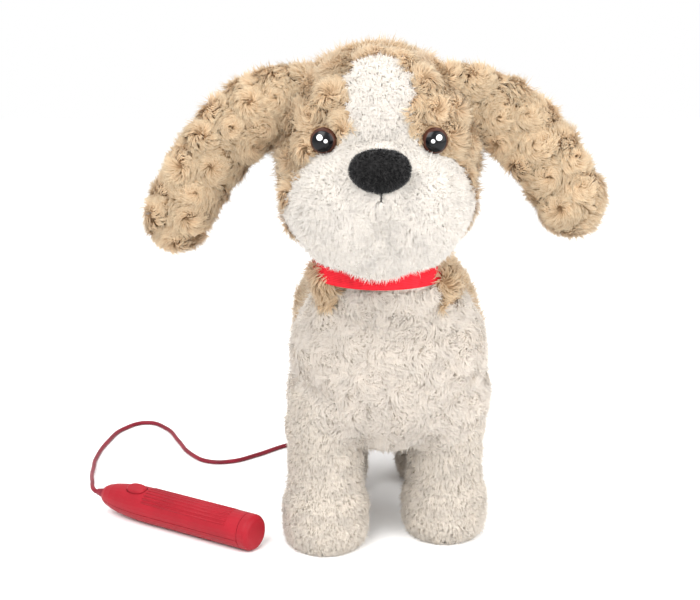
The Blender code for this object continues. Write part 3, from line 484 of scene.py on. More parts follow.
def ear_lumps(word, side):
    """One puppy's ears are never cut and stuffed quite alike: the left is a little shorter."""
    return [((side * x, y, z), size) for (x, y, z), size in EAR_LUMPS[: EAR_LENGTHS[word]]]


ear_skins = {
    word: stuffed_skin("ear_skin_" + word, ear_lumps(word, side), 2.5)
    for word, side in (("left", 1), ("right", -1))
}
tail_skin = stuffed_skin(
    "tail_skin",
    [
        ((0, 104, 115), (8, 9, 8)),
        ((0, 111, 120), (9, 9, 9)),
        ((0, 118, 129), (9.5, 9, 9.5)),
        ((0, 123, 140), (9, 8.5, 10)),
        ((0, 125, 151), (7.5, 7.5, 9)),
        ((0, 125.5, 160), (5, 5, 6)),
    ],
    2.0,
)
print("ear skin faces:", {word: len(skin.data.polygons) for word, skin in ear_skins.items()})
print("tail skin faces:", len(tail_skin.data.polygons))

# %% [markdown]
# The filling presses the cloth outwards wherever it can, which rounds the hollows between the
# lumps. Cloth with air pressure does the same: twenty steps, no gravity, and no point may travel
# further than the stitching of a real skin would let it.


# %% Fill the skins
PRESSURE = 4.0
FILL_STEPS = 20
SOLE_HEIGHT = 0.001


def fill_skin(skin, travel, floor=None):
    """Blows the skin up by at most travel millimetres, and keeps what it then is."""
    before = np.empty(len(skin.data.vertices) * 3)
    skin.data.vertices.foreach_get("co", before)
    cloth = skin.modifiers.new("filling", "CLOTH")
    cloth.settings.quality = 4
    cloth.settings.use_pressure = True
    cloth.settings.uniform_pressure_force = PRESSURE
    cloth.settings.effector_weights.gravity = 0.0
    cloth.point_cache.frame_start = 1
    cloth.point_cache.frame_end = FILL_STEPS
    for step in range(1, FILL_STEPS + 1):
        bpy.context.scene.frame_set(step)
    graph = bpy.context.evaluated_depsgraph_get()
    after = np.empty_like(before)
    skin.evaluated_get(graph).data.vertices.foreach_get("co", after)
    skin.modifiers.remove(cloth)
    bpy.context.scene.frame_set(1)
    before, move = before.reshape(-1, 3), (after - before).reshape(-1, 3)
    far = np.linalg.norm(move, axis=1, keepdims=True)
    capped = before + move * np.minimum(1.0, travel / 1000 / np.maximum(far, 1e-9))
    if floor is not None:
        flat = before[:, 2] < floor + 0.0002
        capped[flat, 2] = before[flat, 2]
        capped[:, 2] = np.maximum(capped[:, 2], floor)
    skin.data.vertices.foreach_set("co", capped.reshape(-1))
    skin.data.update()
    print(skin.name, "moved at most", round(float(far.max()) * 1000, 1), "mm, held to", travel)


fill_skin(head_skin, 1.6)
fill_skin(torso_skin, 2.2)
for skin in leg_skins.values():
    fill_skin(skin, 1.2, SOLE_HEIGHT)
for skin in ear_skins.values():
    fill_skin(skin, 0.8)

# %% [markdown]
# ## Pile
# Plush is thousands of fine tufts, and particle hair would not survive as real geometry. So every
# tuft is a narrow tapering blade: two corners at its root, two half way and one at its tip. No
# modelling operator plants blades, so this is the one place where arrays make a mesh.
# The blades lean the way the cloth's nap runs. On curly plush they also turn round small
# centres, which gives the rosettes, and neighbouring tips are drawn together into locks.


# %% Surface samples
def skin_samples(skin, count, seed):
    """Random points on the skin, evenly spread by area, with the skin's smooth normal at each."""
    mesh = skin.data
    mesh.calc_loop_triangles()
    points = np.empty(len(mesh.vertices) * 3)
    normals = np.empty(len(mesh.vertices) * 3, np.float32)
    corners = np.empty(len(mesh.loop_triangles) * 3, np.int32)
    mesh.vertices.foreach_get("co", points)
    mesh.vertex_normals.foreach_get("vector", normals)
    mesh.loop_triangles.foreach_get("vertices", corners)
    points, normals = points.reshape(-1, 3), normals.reshape(-1, 3)
    corners = corners.reshape(-1, 3)
    a, b, c = (points[corners[:, k]] for k in range(3))
    area = np.linalg.norm(np.cross(b - a, c - a), axis=1)
    random = np.random.default_rng(seed)
    picked = random.choice(len(corners), count, p=area / area.sum())
    u, v = random.random((2, count))
    over = u + v > 1
    u[over], v[over] = 1 - u[over], 1 - v[over]
    weights = np.stack([1 - u - v, u, v], axis=1)[:, :, None]
    place = (points[corners[picked]] * weights).sum(axis=1)
    normal = (normals[corners[picked]] * weights).sum(axis=1)
    return place, unit(normal)


def unit(vectors):
    return vectors / np.maximum(np.linalg.norm(vectors, axis=1, keepdims=True), 1e-9)


def along_skin(vectors, normals):
    """What is left of each vector once its part along the normal is taken away."""
    return vectors - normals * (vectors * normals).sum(axis=1, keepdims=True)


def spaced_centres(points, spacing, seed):
    """Picks points in random order and keeps those that are at least spacing from all kept."""
    order = np.random.default_rng(seed).permutation(len(points))[:6000]
    kept = np.empty((0, 3))
    for point in points[order]:
        if not len(kept) or np.min(np.linalg.norm(kept - point, axis=1)) > spacing:
            kept = np.vstack([kept, point])
    return kept


def nearest(points, centres):
    tree = KDTree(len(centres))
    for k, centre in enumerate(centres):
        tree.insert(centre, k)
    tree.balance()
    return np.array([tree.find(point)[1] for point in points])


def painted_shade_patches(p):
    """Painted shade: soft light and dark patches about ten millimetres across, from -1 to 1."""
    x, y, z = p.T
    first = np.sin(x * 0.43 + 1.3 * np.sin(z * 0.21)) * np.sin(z * 0.37 + y * 0.29)
    second = np.sin(x * 0.19 - z * 0.23 + 2.0) * np.sin(y * 0.31 + 0.7)
    return 0.6 * first + 0.4 * second


# %% [markdown]
# A blade leaves the cloth nearly upright and bends over towards its tip. About one blade in eight
# is a stray: a little longer, more upright, and in no lock. Strays soften the outline of the pile.

# %% Shape of a blade
STRAY_SHARE, STRAY_LENGTH, STRAY_LEAN = 0.12, 1.18, 0.5
BEND_UP, BEND_ALONG = 0.42, 0.20
TIP_SINK, TIP_ALONG = 0.62, 0.95
ROOT_DEPTH, ABOVE_FLOOR = 0.0006, 0.0004


def rosettes(root, normal, spacing, swirl, seed, random):
    """Turns the pile round centres that are spacing metres apart. Gives what each blade's
    heading, length and tone gain from its place in its own rosette."""
    centres = spaced_centres(root, spacing, seed)
    own = nearest(root, centres)
    arm = along_skin(root - centres[own], normal)
    reach = np.linalg.norm(arm, axis=1, keepdims=True) / spacing
    turn = np.where(own % 3 == 0, -1.0, 1.0)[:, None]
    outward = np.where(own % 5 < 2, -0.55, 1.0)[:, None]
    heading = swirl * np.cross(normal, unit(arm)) * turn
    heading += swirl * unit(arm) * (0.9 - 1.5 * reach) * outward
    lift = 1.0 + swirl * (0.14 - 0.60 * np.clip(reach[:, 0], 0, 0.8))
    # Painted highlight at a rosette's raised middle, painted shade at its rim, plus a tone per
    # rosette.
    tone = swirl * 0.34 * (0.40 - reach[:, 0])
    return heading, lift, tone + random.normal(0, 0.05, len(centres))[own]


# %% Planting
def plant_pile(
    name, skin, look, count, length, seed, keep=None, nap=(0, 0, -1), nap_weight=0.5,
    lean=0.6, rosette=0.0, swirl=1.0, width=0.8, lock=2.6, draw=0.55, shade_patch_strength=0.0, shorten=None,
):
    """Plants blades on the skin. Lengths, widths and spacings are in millimetres."""
    random = np.random.default_rng(seed + 1000)
    root, normal = skin_samples(skin, count, seed)
    if keep is not None:
        wanted = keep(own_millimetres(root))
        root, normal = root[wanted], normal[wanted]
    total = len(root)
    heading = along_skin(np.tile(np.array(nap, float), (total, 1)), normal) * nap_weight
    lift = np.full(total, 1.0)
    tone = random.normal(0.5, 0.10, total)
    if rosette:
        turned, lift, lighter = rosettes(root, normal, rosette / 1000, swirl, seed, random)
        heading += turned
        tone += lighter
    # Painted shade: soft lighter and darker patches in the tone stand in for shadow between lumps.
    tone += shade_patch_strength * painted_shade_patches(own_millimetres(root))
    heading = unit(heading + random.normal(0, 0.30, (total, 3)))
    heading = unit(along_skin(heading, normal))
    size = length / 1000 * random.triangular(0.62, 0.95, 1.22, total) * lift
    if shorten is not None:
        size = size * shorten(own_millimetres(root))
    stray = random.random(total) < STRAY_SHARE
    size = (size * np.where(stray, STRAY_LENGTH, 1.0))[:, None]
    slope = (lean * np.where(stray, STRAY_LEAN, 1.0))[:, None]
    middle = root + normal * size * BEND_UP + heading * size * BEND_ALONG * slope
    tip = root + normal * size * (1.0 - TIP_SINK * slope) + heading * size * TIP_ALONG * slope
    if draw:
        leaders = max(1, int(total * draw_share(lock, skin, total)))
        locks = random.choice(total, leaders, False)
        mine = locks[nearest(root, root[locks])]
        pull = np.where(stray, 0.0, draw)[:, None]
        tip += (tip[mine] - tip) * pull
        middle += (middle[mine] - middle) * pull * 0.35
        tone += random.normal(0, 0.07, total)[mine]
    base = root - normal * ROOT_DEPTH
    for points in (base, middle, tip):
        points[:, 2] = np.maximum(points[:, 2], ABOVE_FLOOR)
    side = unit(np.cross(tip - base, normal))
    twist = random.normal(0, 0.35, total)[:, None]
    side = unit(side + normal * twist)
    half = side * (width / 2000) * random.uniform(0.7, 1.2, total)[:, None]
    at_bend = half * 0.85
    corners = np.stack([base - half, base + half, middle - at_bend, middle + at_bend, tip], 1)
    return blades_object(name, corners, normal, np.clip(tone, 0.03, 0.97), look)


def draw_share(lock, skin, total):
    """The share of blades that lead a lock, so that locks are about lock millimetres apart."""
    area = sum(face.area for face in skin.data.polygons) * 1e6
    return min(0.5, area / (lock * lock) / max(total, 1))


def blades_object(name, corners, normal, tone, look):
    """One mesh of all the blades. Its UV holds each blade's tone across and its length upwards."""
    total = len(corners)
    first = np.arange(total)[:, None] * 5
    quads = (first + np.array([[0, 1, 3, 2]])).reshape(-1)
    tips = (first + np.array([[2, 3, 4]])).reshape(-1)
    mesh = bpy.data.meshes.new(name)
    mesh.vertices.add(total * 5)
    mesh.vertices.foreach_set("co", corners.reshape(-1).astype(np.float32))
    mesh.loops.add(total * 7)
    mesh.loops.foreach_set("vertex_index", np.concatenate([quads, tips]).astype(np.int32))
    mesh.polygons.add(total * 2)
    starts = np.concatenate([np.arange(total) * 4, total * 4 + np.arange(total) * 3])
    mesh.polygons.foreach_set("loop_start", starts.astype(np.int32))
    mesh.update(calc_edges=True)
    strip = mesh.uv_layers.new(name="OFBake")
    shift = np.array([-0.004, 0.004])
    quad_u = tone[:, None] + shift[[0, 1, 1, 0]]
    quad_v = np.tile([0.02, 0.02, 0.5, 0.5], (total, 1))
    tip_u = tone[:, None] + np.array([-0.004, 0.004, 0.0])
    tip_v = np.tile([0.5, 0.5, 0.98], (total, 1))
    u = np.concatenate([quad_u.reshape(-1), tip_u.reshape(-1)])
    v = np.concatenate([quad_v.reshape(-1), tip_v.reshape(-1)])
    strip.data.foreach_set("uv", np.stack([u, v], 1).reshape(-1).astype(np.float32))
    mesh.shade_smooth()
    mesh.materials.append(look)
    soft = np.repeat(normal, 5, axis=0).reshape(total, 5, 3)
    lean = unit(corners[:, 4] - corners[:, 0])
    soft[:, 4] = unit(normal + lean * 0.45)
    mesh.normals_split_custom_set_from_vertices(soft.reshape(-1, 3).tolist())
    obj = bpy.data.objects.new(name, mesh)
    bpy.context.scene.collection.objects.link(obj)
    print(name, "blades:", total)
    return obj


# %% [markdown]
# A pile finish reads the blade's own strip of UV: across is how light the blade is, and up is the
# way from root to tip. Roots are deeper in colour, because less light gets down to them. Part of
# the light also goes through each fibre, which is why lit plush has no hard shadow inside it.


# %% Pile finishes
def pile_finish(name, root, middle, tip, spread=0.22, glow=0.45):
    look, tree, shader = new_finish(name, 0.92, Sheen_Weight=0.35, Sheen_Roughness=0.5)
    shader.inputs["Specular IOR Level"].default_value = 0.15
    strip = add_node(tree, "ShaderNodeUVMap", uv_map="OFBake").outputs["UV"]
    parts = add_node(tree, "ShaderNodeSeparateXYZ", {"Vector": strip})
    shade = colour_ramp(tree, parts.outputs["Y"], [(0.0, root), (0.45, middle), (1.0, tip)])
    level = add_node(
        tree,
        "ShaderNodeMapRange",
        {"Value": parts.outputs["X"], "To Min": 1.0 - spread, "To Max": 1.0 + spread * 0.5},
    )
    mixed = add_node(
        tree,
        "ShaderNodeMix",
        data_type="RGBA",
        blend_type="MULTIPLY",
        inputs={"Factor": 1.0},
    )
    tree.links.new(shade, mixed.inputs["A"])
    tree.links.new(level.outputs["Result"], mixed.inputs["B"])
    tree.links.new(mixed.outputs["Result"], shader.inputs["Base Color"])
    through = add_node(tree, "ShaderNodeBsdfTranslucent", {"Color": mixed.outputs["Result"]})
    both = add_node(
        tree,
        "ShaderNodeMixShader",
        {0: glow, 1: shader.outputs["BSDF"], 2: through.outputs["BSDF"]},
    )
    tree.links.new(both.outputs["Shader"], tree.nodes["Material Output"].inputs["Surface"])
    return look


def skin_finish(name, colour):
    look, tree, shader = new_finish(name, 0.95, Sheen_Weight=0.2)
    patches = own_noise(tree, 160.0).outputs["Fac"]
    darker = tuple(value * 0.78 for value in colour)
    tree.links.new(
        colour_ramp(tree, patches, [(0.3, darker), (0.7, colour)]), shader.inputs["Base Color"]
    )
    add_bump(tree, shader, own_noise(tree, 900.0).outputs["Fac"], 0.6, 0.0006)
    return look


tan_pile = pile_finish(
    "tan_pile", (0.47, 0.28, 0.145), (0.71, 0.505, 0.305), (0.90, 0.785, 0.59), 0.34
)
white_pile = pile_finish(
    "white_pile", (0.86, 0.80, 0.735), (0.91, 0.87, 0.815), (0.95, 0.925, 0.885), 0.12, 0.55
)
cream_pile = pile_finish(
    "cream_pile", (0.82, 0.74, 0.65), (0.88, 0.82, 0.75), (0.93, 0.89, 0.83), 0.14, 0.55
)
leg_pile = pile_finish(
    "leg_pile", (0.80, 0.72, 0.62), (0.87, 0.81, 0.73), (0.92, 0.87, 0.80), 0.14, 0.55
)
tan_cloth = skin_finish("tan_cloth", (0.49, 0.32, 0.18))
cream_cloth = skin_finish("cream_cloth", (0.78, 0.72, 0.64))
white_cloth = skin_finish("white_cloth", (0.84, 0.81, 0.77))

# %% [markdown]
# ## Where each colour of plush goes
# The face has a white blaze that runs down between the eyes and widens into the muzzle. The body
# is cream, with a tan saddle that comes round to the shoulders. Each rule takes points in the
# puppy's own millimetres and answers which of them it covers.


# %% Colour areas
EYE_X, EYE_Z = 29.0, 252.5
BLAZE_EDGE = (
    (174, 60), (206, 56), (222, 50), (234, 44), (241, 35), (248, 23), (256, 16), (264, 15),
    (274, 17), (281, 17), (285, 14), (289, 9), (291, 0),
)
WHITE_BEHIND = -87.0
BLAZE_BEHIND = -70.0
CHEEK_TOP, CHEEK_LENGTH = 241, 13
EYE_CLEAR, FACE_FRONT, NOSE_FRONT = 5.6, -90, -110


def white_of_face(p):
    """The blaze and the muzzle. The white is narrower on the puppy's right cheek."""
    heights, widths = zip(*BLAZE_EDGE)
    edge = np.interp(p[:, 2], heights, widths)
    edge = edge + 1.3 * np.sin(p[:, 2] * 0.9) + 0.8 * np.sin(p[:, 2] * 2.3)
    cheek = np.clip((CHEEK_TOP - p[:, 2]) / CHEEK_LENGTH, 0, 1)
    edge = edge - cheek * np.where(p[:, 0] < 0, 5.0, 1.0)
    front = p[:, 1] < np.where(p[:, 2] > 252, BLAZE_BEHIND, WHITE_BEHIND)
    under = (p[:, 2] < 194) & (p[:, 1] < -76)
    return ((np.abs(p[:, 0]) < edge) & front) | under


def clear_of_face_parts(p):
    eye = np.hypot(np.abs(p[:, 0]) - EYE_X, p[:, 2] - EYE_Z) < EYE_CLEAR
    nose = ((p[:, 0] / 12.0) ** 2 + ((p[:, 2] - 241.5) / 8.6) ** 2 < 1) & (p[:, 1] < -118)
    return ~((eye & (p[:, 1] < FACE_FRONT)) | nose)


def near_face_parts(p):
    """Shorter pile round the eyes and the nose, and longer under the chin."""
    eye = np.hypot(np.abs(p[:, 0]) - EYE_X, p[:, 2] - EYE_Z)
    nose = np.hypot(p[:, 0] / 1.35, p[:, 2] - 242.5) + np.where(p[:, 1] < NOSE_FRONT, 0, 60)
    room = np.minimum(eye + np.where(p[:, 1] < FACE_FRONT, 0, 60) - 7.0, nose - 8.0)
    beard = 1.0 + 0.5 * np.clip((187 - p[:, 2]) / 8, 0, 1) * (p[:, 1] < -80)
    return np.clip(0.35 + room / 9.0, 0.35, 1.0) * beard


def under_collar(p):
    """Where the ribbon presses the pile flat. At its two front ends the pile comes over it."""
    across = np.hypot(p[:, 0], p[:, 1] + 54)
    over_its_ends = (np.abs(p[:, 0]) > 25) & (p[:, 1] < -60)
    return (p[:, 2] > 163) & (p[:, 2] < 175) & (across < 40.5) & ~over_its_ends


def saddle(p):
    """The tan of the back, which comes round to the shoulders and up the neck."""
    ripple = 3 * np.sin(p[:, 1] * 0.21) + 2 * np.sin(p[:, 0] * 0.4)
    back = (p[:, 1] > -34) & (p[:, 2] > 122 + ripple - np.clip(p[:, 1] - 20, 0, 40) * 0.2)
    shoulder = (np.abs(p[:, 0]) > 29 + ripple) & (p[:, 2] > 151 + ripple) & (p[:, 1] <= -34)
    neck = (p[:, 1] > -76) & (p[:, 2] > 160 + ripple)
    return back | shoulder | neck


def tan_of_head(p):
    return clear_of_face_parts(p) & ~white_of_face(p) & ~under_collar(p)


def white_of_head(p):
    return clear_of_face_parts(p) & white_of_face(p) & ~under_collar(p)


def cream_of_body(p):
    return ~saddle(p) & ~under_collar(p)


def tan_of_body(p):
    return saddle(p) & ~under_collar(p)


def left_half(area):
    return lambda p: area(p) & (p[:, 0] > 0)


def right_half(area):
    return lambda p: area(p) & (p[:, 0] <= 0)


# %% [markdown]
# ## Planting each piece's pile
# Three ways of planting serve the whole toy: long curly tan, short smooth white, and cream that is
# only a little curly. The large areas are planted in two halves, so no mesh gets too heavy.

# %% Plant the pile
PILE_STARTS = 1.6


def share(count):
    return int(count * (1.0))


TAN_WAY = {"lean": 0.70, "rosette": 14.5, "width": 0.55, "draw": 0.42, "lock": 2.2}
# The patch strength here is painted shade: soft darker and lighter patches in the pile's tone.
SHORT_WAY = {"lean": 0.72, "width": 0.7, "draw": 0.12, "lock": 2.4, "shade_patch_strength": 0.28}
CREAM_WAY = {
    "lean": 0.80, "rosette": 13.0, "swirl": 0.55, "width": 0.6, "draw": 0.2, "lock": 2.4,
    "shade_patch_strength": 0.2,
}
HALVES = (("left", left_half), ("right", right_half))
head_piles = [
    plant_pile(
        "head_tan_" + word, head_skin, tan_pile, share(135000), 10.5, 11 + k,
        half(tan_of_head), nap=(0, 0.25, -1), nap_weight=0.4, shorten=near_face_parts, **TAN_WAY,
    )
    for k, (word, half) in enumerate(HALVES)
]
head_piles.append(
    plant_pile(
        "head_white_pile", head_skin, white_pile, share(170000), 5.6, 15, white_of_head,
        nap=(0, 0.5, -0.8), shorten=near_face_parts, **SHORT_WAY,
    )
)
body_piles = [
    plant_pile(
        "body_cream_" + word, torso_skin, cream_pile, share(170000), 7.0, 17 + k,
        half(cream_of_body), nap=(0, 0.1, -1), nap_weight=0.6, **CREAM_WAY,
    )
    for k, (word, half) in enumerate(HALVES)
]
body_tan = plant_pile(
    "body_tan_pile", torso_skin, tan_pile, share(130000), 10.5, 19, tan_of_body,
    nap=(0, 1, -0.4), nap_weight=0.4, **TAN_WAY,
)
leg_piles = {
    word: plant_pile(
        "leg_pile_" + word, leg_skins[word], leg_pile, share(38000), 5.0, 20 + k,
        lambda p: p[:, 2] > PILE_STARTS, nap=(0, 0, -1), **SHORT_WAY,
    )
    for k, word in enumerate(LEG_WORDS)
}
ear_piles = {
    word: plant_pile(
        "ear_pile_" + word, ear_skins[word], tan_pile, share(46000), 9.0, 30 + k,
        nap=(0, 0, -1), nap_weight=0.5, **TAN_WAY,
    )
    for k, word in enumerate(("left", "right"))
}
tail_tan = plant_pile(
    "tail_pile", tail_skin, tan_pile, share(12000), 7.5, 40, nap=(0, 1, 0.2), **TAN_WAY
)

# %% [markdown]
# ## Eyes
# A toy's safety eye is one domed plastic moulding. Here a sphere is flattened for the dome, and
# its faces are given to two looks by how far they are from the dome's middle: the black pupil and
# a brown rim. The two white catch-lights are thin discs that are set into the dome's surface.

# %% Eye finishes
eye_black = moulded_plastic("eye_black", (0.004, 0.004, 0.005), 0.16)
eye_brown = moulded_plastic("eye_brown", (0.050, 0.016, 0.009), 0.22)
for look in (eye_black, eye_brown):
    look.node_tree.nodes["Principled BSDF"].inputs["Specular IOR Level"].default_value = 0.22
eye_white = moulded_plastic("eye_white", (0.88, 0.88, 0.88), 0.25)
EYE_DOME = 7.2
EYE_DEPTH = 4.6
PUPIL_SHARE = 0.77
EYE_APART, EYE_FORWARD, EYE_LOWER = 0.7, 5.6, 1.8
EYE_TURN = math.radians(10)
CATCH_LIGHTS = ((1.3, 2.2, 1.75), (-2.0, 0.4, 1.1))
CATCH_LIGHT_DEPTH, CATCH_LIGHT_TURN = 0.45, 0.6


def add_round(bm, radius, depth, place, turn, look, detail=24):
    """A flattened ball facing the front, in the puppy's own millimetres."""
    made = bmesh.ops.create_uvsphere(
        bm, u_segments=detail, v_segments=detail // 2, radius=radius / 1000
    )
    bmesh.ops.scale(bm, vec=(1, 1, depth / radius), verts=made["verts"])
    facing = Matrix.Rotation(math.radians(90), 4, "X")
    spot = Matrix.Translation(at(*place)) @ Matrix.Rotation(turn, 4, "Z") @ facing
    bmesh.ops.transform(bm, matrix=spot, verts=made["verts"])
    for face in {face for vert in made["verts"] for face in vert.link_faces}:
        face.material_index = look


def add_piece(name, bm, *looks):
    bmesh.ops.recalc_face_normals(bm, faces=bm.faces)
    mesh = bpy.data.meshes.new(name)
    bm.to_mesh(mesh)
    bm.free()
    for look in looks:
        mesh.materials.append(look)
    mesh.shade_smooth()
    piece = bpy.data.objects.new(name, mesh)
    bpy.context.scene.collection.objects.link(piece)
    return piece


def make_eye(word, side):
    low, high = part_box("eye_" + word)
    middle = own_millimetres(np.array((low + high) / 2))
    back = own_millimetres(np.array(high))[1]
    place = (middle[0] + side * EYE_APART, back - EYE_FORWARD, middle[2] - EYE_LOWER)
    turn = side * EYE_TURN
    bm = bmesh.new()
    add_round(bm, EYE_DOME, EYE_DEPTH, place, turn, 1, 48)
    forward = Vector((math.sin(turn), -math.cos(turn), 0))
    centre = at(*place)
    for face in bm.faces:
        out = face.calc_center_median() - centre
        depth = out.dot(forward)
        off_axis = (out - forward * depth).length * 1000
        if depth > 0 and off_axis < EYE_DOME * PUPIL_SHARE:
            face.material_index = 0
    for outwards, up, size in CATCH_LIGHTS:
        across = side * outwards
        high_point = EYE_DEPTH * math.sqrt(1 - (across**2 + up**2) / EYE_DOME**2)
        spot = centre + forward * (high_point + 0.02) / 1000
        spot += Vector((math.cos(turn), math.sin(turn), 0)) * across / 1000
        spot.z += up / 1000
        dot = own_millimetres(np.array(spot))
        dot_turn = turn + across / EYE_DOME * CATCH_LIGHT_TURN
        add_round(bm, size, CATCH_LIGHT_DEPTH, dot, dot_turn, 2, 20)
    return add_piece("eye_dome_" + word, bm, eye_black, eye_brown, eye_white)


eyes = {"left": make_eye("left", 1), "right": make_eye("right", -1)}
print("eyes made:", len(eyes))

# %% [markdown]
# ## Nose
# The nose is a rounded triangle of black velour, slightly padded. A squashed ball is pinched
# towards its lower end, and a very short dense pile makes the velour. One black thread runs down
# from it, as the start of the mouth.

# %% Nose
NOSE_PLACE = (0.0, -138.6, 239.6)
NOSE_SQUARENESS = 0.86
NOSE_SIZE = (15.6, 7.2, 10.9)
NOSE_TILT = math.radians(-16)
PINCH_HEIGHT, PINCH, TUCK = 10.6, 0.36, 2.2
THREAD_PLACE, THREAD_TILT = (0.6, -142.6, 227.0), math.radians(-24)
THREAD_RADIUS, THREAD_LENGTH = 0.3, 5.0
nose_velour = pile_finish(
    "nose_velour", (0.003, 0.003, 0.003), (0.005, 0.005, 0.006), (0.012, 0.012, 0.013), 0.3
)
nose_cloth = skin_finish("nose_cloth", (0.012, 0.011, 0.011))
bm = bmesh.new()
bmesh.ops.create_icosphere(bm, subdivisions=4, radius=0.001)
for vert in bm.verts:
    vert.co = Vector([math.copysign(abs(c * 1000) ** NOSE_SQUARENESS, c) for c in vert.co]) / 1000
bmesh.ops.scale(bm, vec=NOSE_SIZE, verts=bm.verts)
for vert in bm.verts:
    low_part = min(0.0, vert.co.z) * 1000 / PINCH_HEIGHT
    vert.co.x *= 1.0 - PINCH * low_part * low_part
    vert.co.y += TUCK / 1000 * low_part * low_part
bmesh.ops.rotate(bm, cent=(0, 0, 0), matrix=Matrix.Rotation(NOSE_TILT, 3, "X"), verts=bm.verts)
bmesh.ops.translate(bm, vec=at(*NOSE_PLACE), verts=bm.verts)
thread = bmesh.ops.create_cone(
    bm, cap_ends=True, segments=8, radius1=THREAD_RADIUS / 1000, radius2=THREAD_RADIUS / 1000,
    depth=THREAD_LENGTH / 1000,
)
tilted = Matrix.Rotation(THREAD_TILT, 3, "X")
bmesh.ops.rotate(bm, cent=(0, 0, 0), matrix=tilted, verts=thread["verts"])
bmesh.ops.translate(bm, vec=at(*THREAD_PLACE), verts=thread["verts"])
nose_pad = add_piece("nose_pad", bm, nose_cloth)
nose_pile = plant_pile(
    "nose_pile", nose_pad, nose_velour, share(9000), 1.5, 50, nap=(0, 0, -1), lean=0.35,
    width=0.35, lock=0.9, draw=0.3,
)

# %% [markdown]
# ## Collar
# A flat red ribbon goes once round the neck. A narrow upright strip is spun about the neck's own
# axis, and its two long edges are bevelled, because a woven edge is rolled and never sharp.


# %% Ribbon finish
RIBBON_THICKNESS, RIBBON_SINK, RIBBON_EDGE = 1.6, 0.6, 0.4
RIBBON_STEPS = 96


def ribbon_finish():
    look, tree, shader = new_finish("ribbon_weave", 0.8, Specular_IOR_Level=0.2)
    place = add_node(tree, "ShaderNodeTexCoord").outputs["Object"]
    rows = add_node(
        tree,
        "ShaderNodeTexWave",
        {"Vector": place, "Scale": 320.0, "Distortion": 0.6, "Detail": 1.0},
        bands_direction="Z",
    )
    tint = add_node(tree, "ShaderNodeMath", {0: rows.outputs["Fac"], 1: 0.35}, operation="MULTIPLY")
    soft = add_node(
        tree,
        "ShaderNodeMath",
        {0: own_noise(tree, 300.0).outputs["Fac"], 1: tint.outputs["Value"]},
        operation="ADD",
    )
    reds = [(0.35, (0.46, 0.007, 0.014)), (0.85, (0.70, 0.016, 0.030))]
    shade = colour_ramp(tree, soft.outputs["Value"], reds)
    tree.links.new(shade, shader.inputs["Base Color"])
    add_bump(tree, shader, rows.outputs["Fac"], 0.5, 0.00015)
    return look


ribbon_weave = ribbon_finish()

# %% Collar
collar_low, collar_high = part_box("collar")
collar_middle = (collar_low + collar_high) / 2
collar_radius = (collar_high.x - collar_low.x) / 2
bm = bmesh.new()
bmesh.ops.create_grid(bm, x_segments=1, y_segments=4, size=0.5)
strip_size = (RIBBON_THICKNESS / 1000, collar_high.z - collar_low.z, 1)
upright = Matrix.Rotation(math.radians(90), 3, "X")
to_its_side = Vector((collar_radius - RIBBON_SINK / 1000, 0, 0))
bmesh.ops.scale(bm, vec=strip_size, verts=bm.verts)
bmesh.ops.rotate(bm, cent=(0, 0, 0), matrix=upright, verts=bm.verts)
bmesh.ops.translate(bm, vec=collar_middle + to_its_side, verts=bm.verts)
bmesh.ops.spin(
    bm, geom=bm.verts[:] + bm.edges[:] + bm.faces[:], cent=collar_middle, axis=(0, 0, 1),
    angle=math.tau, steps=RIBBON_STEPS, use_merge=True,
)
collar_ribbon = add_piece("collar_ribbon", bm, ribbon_weave)
edge_round = collar_ribbon.modifiers.new("rolled_edge", "BEVEL")
edge_round.width = RIBBON_EDGE / 1000
edge_round.segments = 2
bake_modifiers(collar_ribbon)
print("collar faces:", len(collar_ribbon.data.polygons))

# %% [markdown]
# ## Grip ribs of the handset
# Low ribs run along the barrel under the fingers. One thin rod, almost buried in the shell, is
# copied round the barrel's upper side.

# %% Ribs
RIB_FROM, RIB_TO, RIB_RADIUS = 0.014, 0.077, 0.0008
RIB_COUNT, RIB_STEP = 11, math.radians(12)
RIB_MIDDLE_OUT, CAP_HALF = 0.0105, 0.0035
barrel_axis = handset_line.copy()
barrel_axis.z = 0
barrel_axis.normalize()
butt = cap_middle - barrel_axis * CAP_HALF
along = barrel_axis.to_track_quat("Z", "Y").to_matrix().to_4x4()
rib_middle = butt + barrel_axis * (RIB_FROM + RIB_TO) / 2
bm = bmesh.new()
for k in range(RIB_COUNT):
    made = bmesh.ops.create_cone(
        bm, cap_ends=True, segments=8, radius1=RIB_RADIUS, radius2=RIB_RADIUS,
        depth=RIB_TO - RIB_FROM,
    )
    turn = Matrix.Rotation((k - (RIB_COUNT - 1) / 2) * RIB_STEP, 4, barrel_axis)
    out = turn @ Vector((0, 0, RIB_MIDDLE_OUT))
    place = Matrix.Translation(rib_middle + out) @ along
    bmesh.ops.transform(bm, matrix=place, verts=made["verts"])
grip_ribs = add_piece("handset_ribs", bm, handset_red)
print("ribs:", RIB_COUNT, "barrel middle height:", round(butt.z, 4))

# %% [markdown]
# ## How the pieces sit, and which pieces a body carries
# A stuffed head never sits dead centre on its neck: this one leans a little to the puppy's right,
# and the body's filling swells a little to its left.
# The head, the torso, the face and the collar stay with the chassis. The legs' and ears' skins
# and pile are only set in place, and no body carries them.

# %% How far each part leans
HEAD_LEAN = -4.5
COLLAR_LEAN = -2.5
BODY_LEAN = 3.0
LEG_LEANS = {"front_left": 3.0, "rear_left": 1.5, "front_right": -0.5, "rear_right": 0.0}


def lean_across(lean, *pieces):
    for piece in pieces:
        piece.data.transform(Matrix.Translation((lean / 1000, 0, 0)))
    print(len(pieces), "pieces from", pieces[0].name, "lean by", lean, "mm")


lean_across(HEAD_LEAN, head_skin, *head_piles, *eyes.values(), nose_pad, nose_pile)
lean_across(HEAD_LEAN, *ear_skins.values(), *ear_piles.values())
lean_across(COLLAR_LEAN, collar_ribbon)
lean_across(BODY_LEAN, torso_skin, *body_piles, body_tan)
for word, lean in LEG_LEANS.items():
    lean_across(lean, leg_skins[word], leg_piles[word])

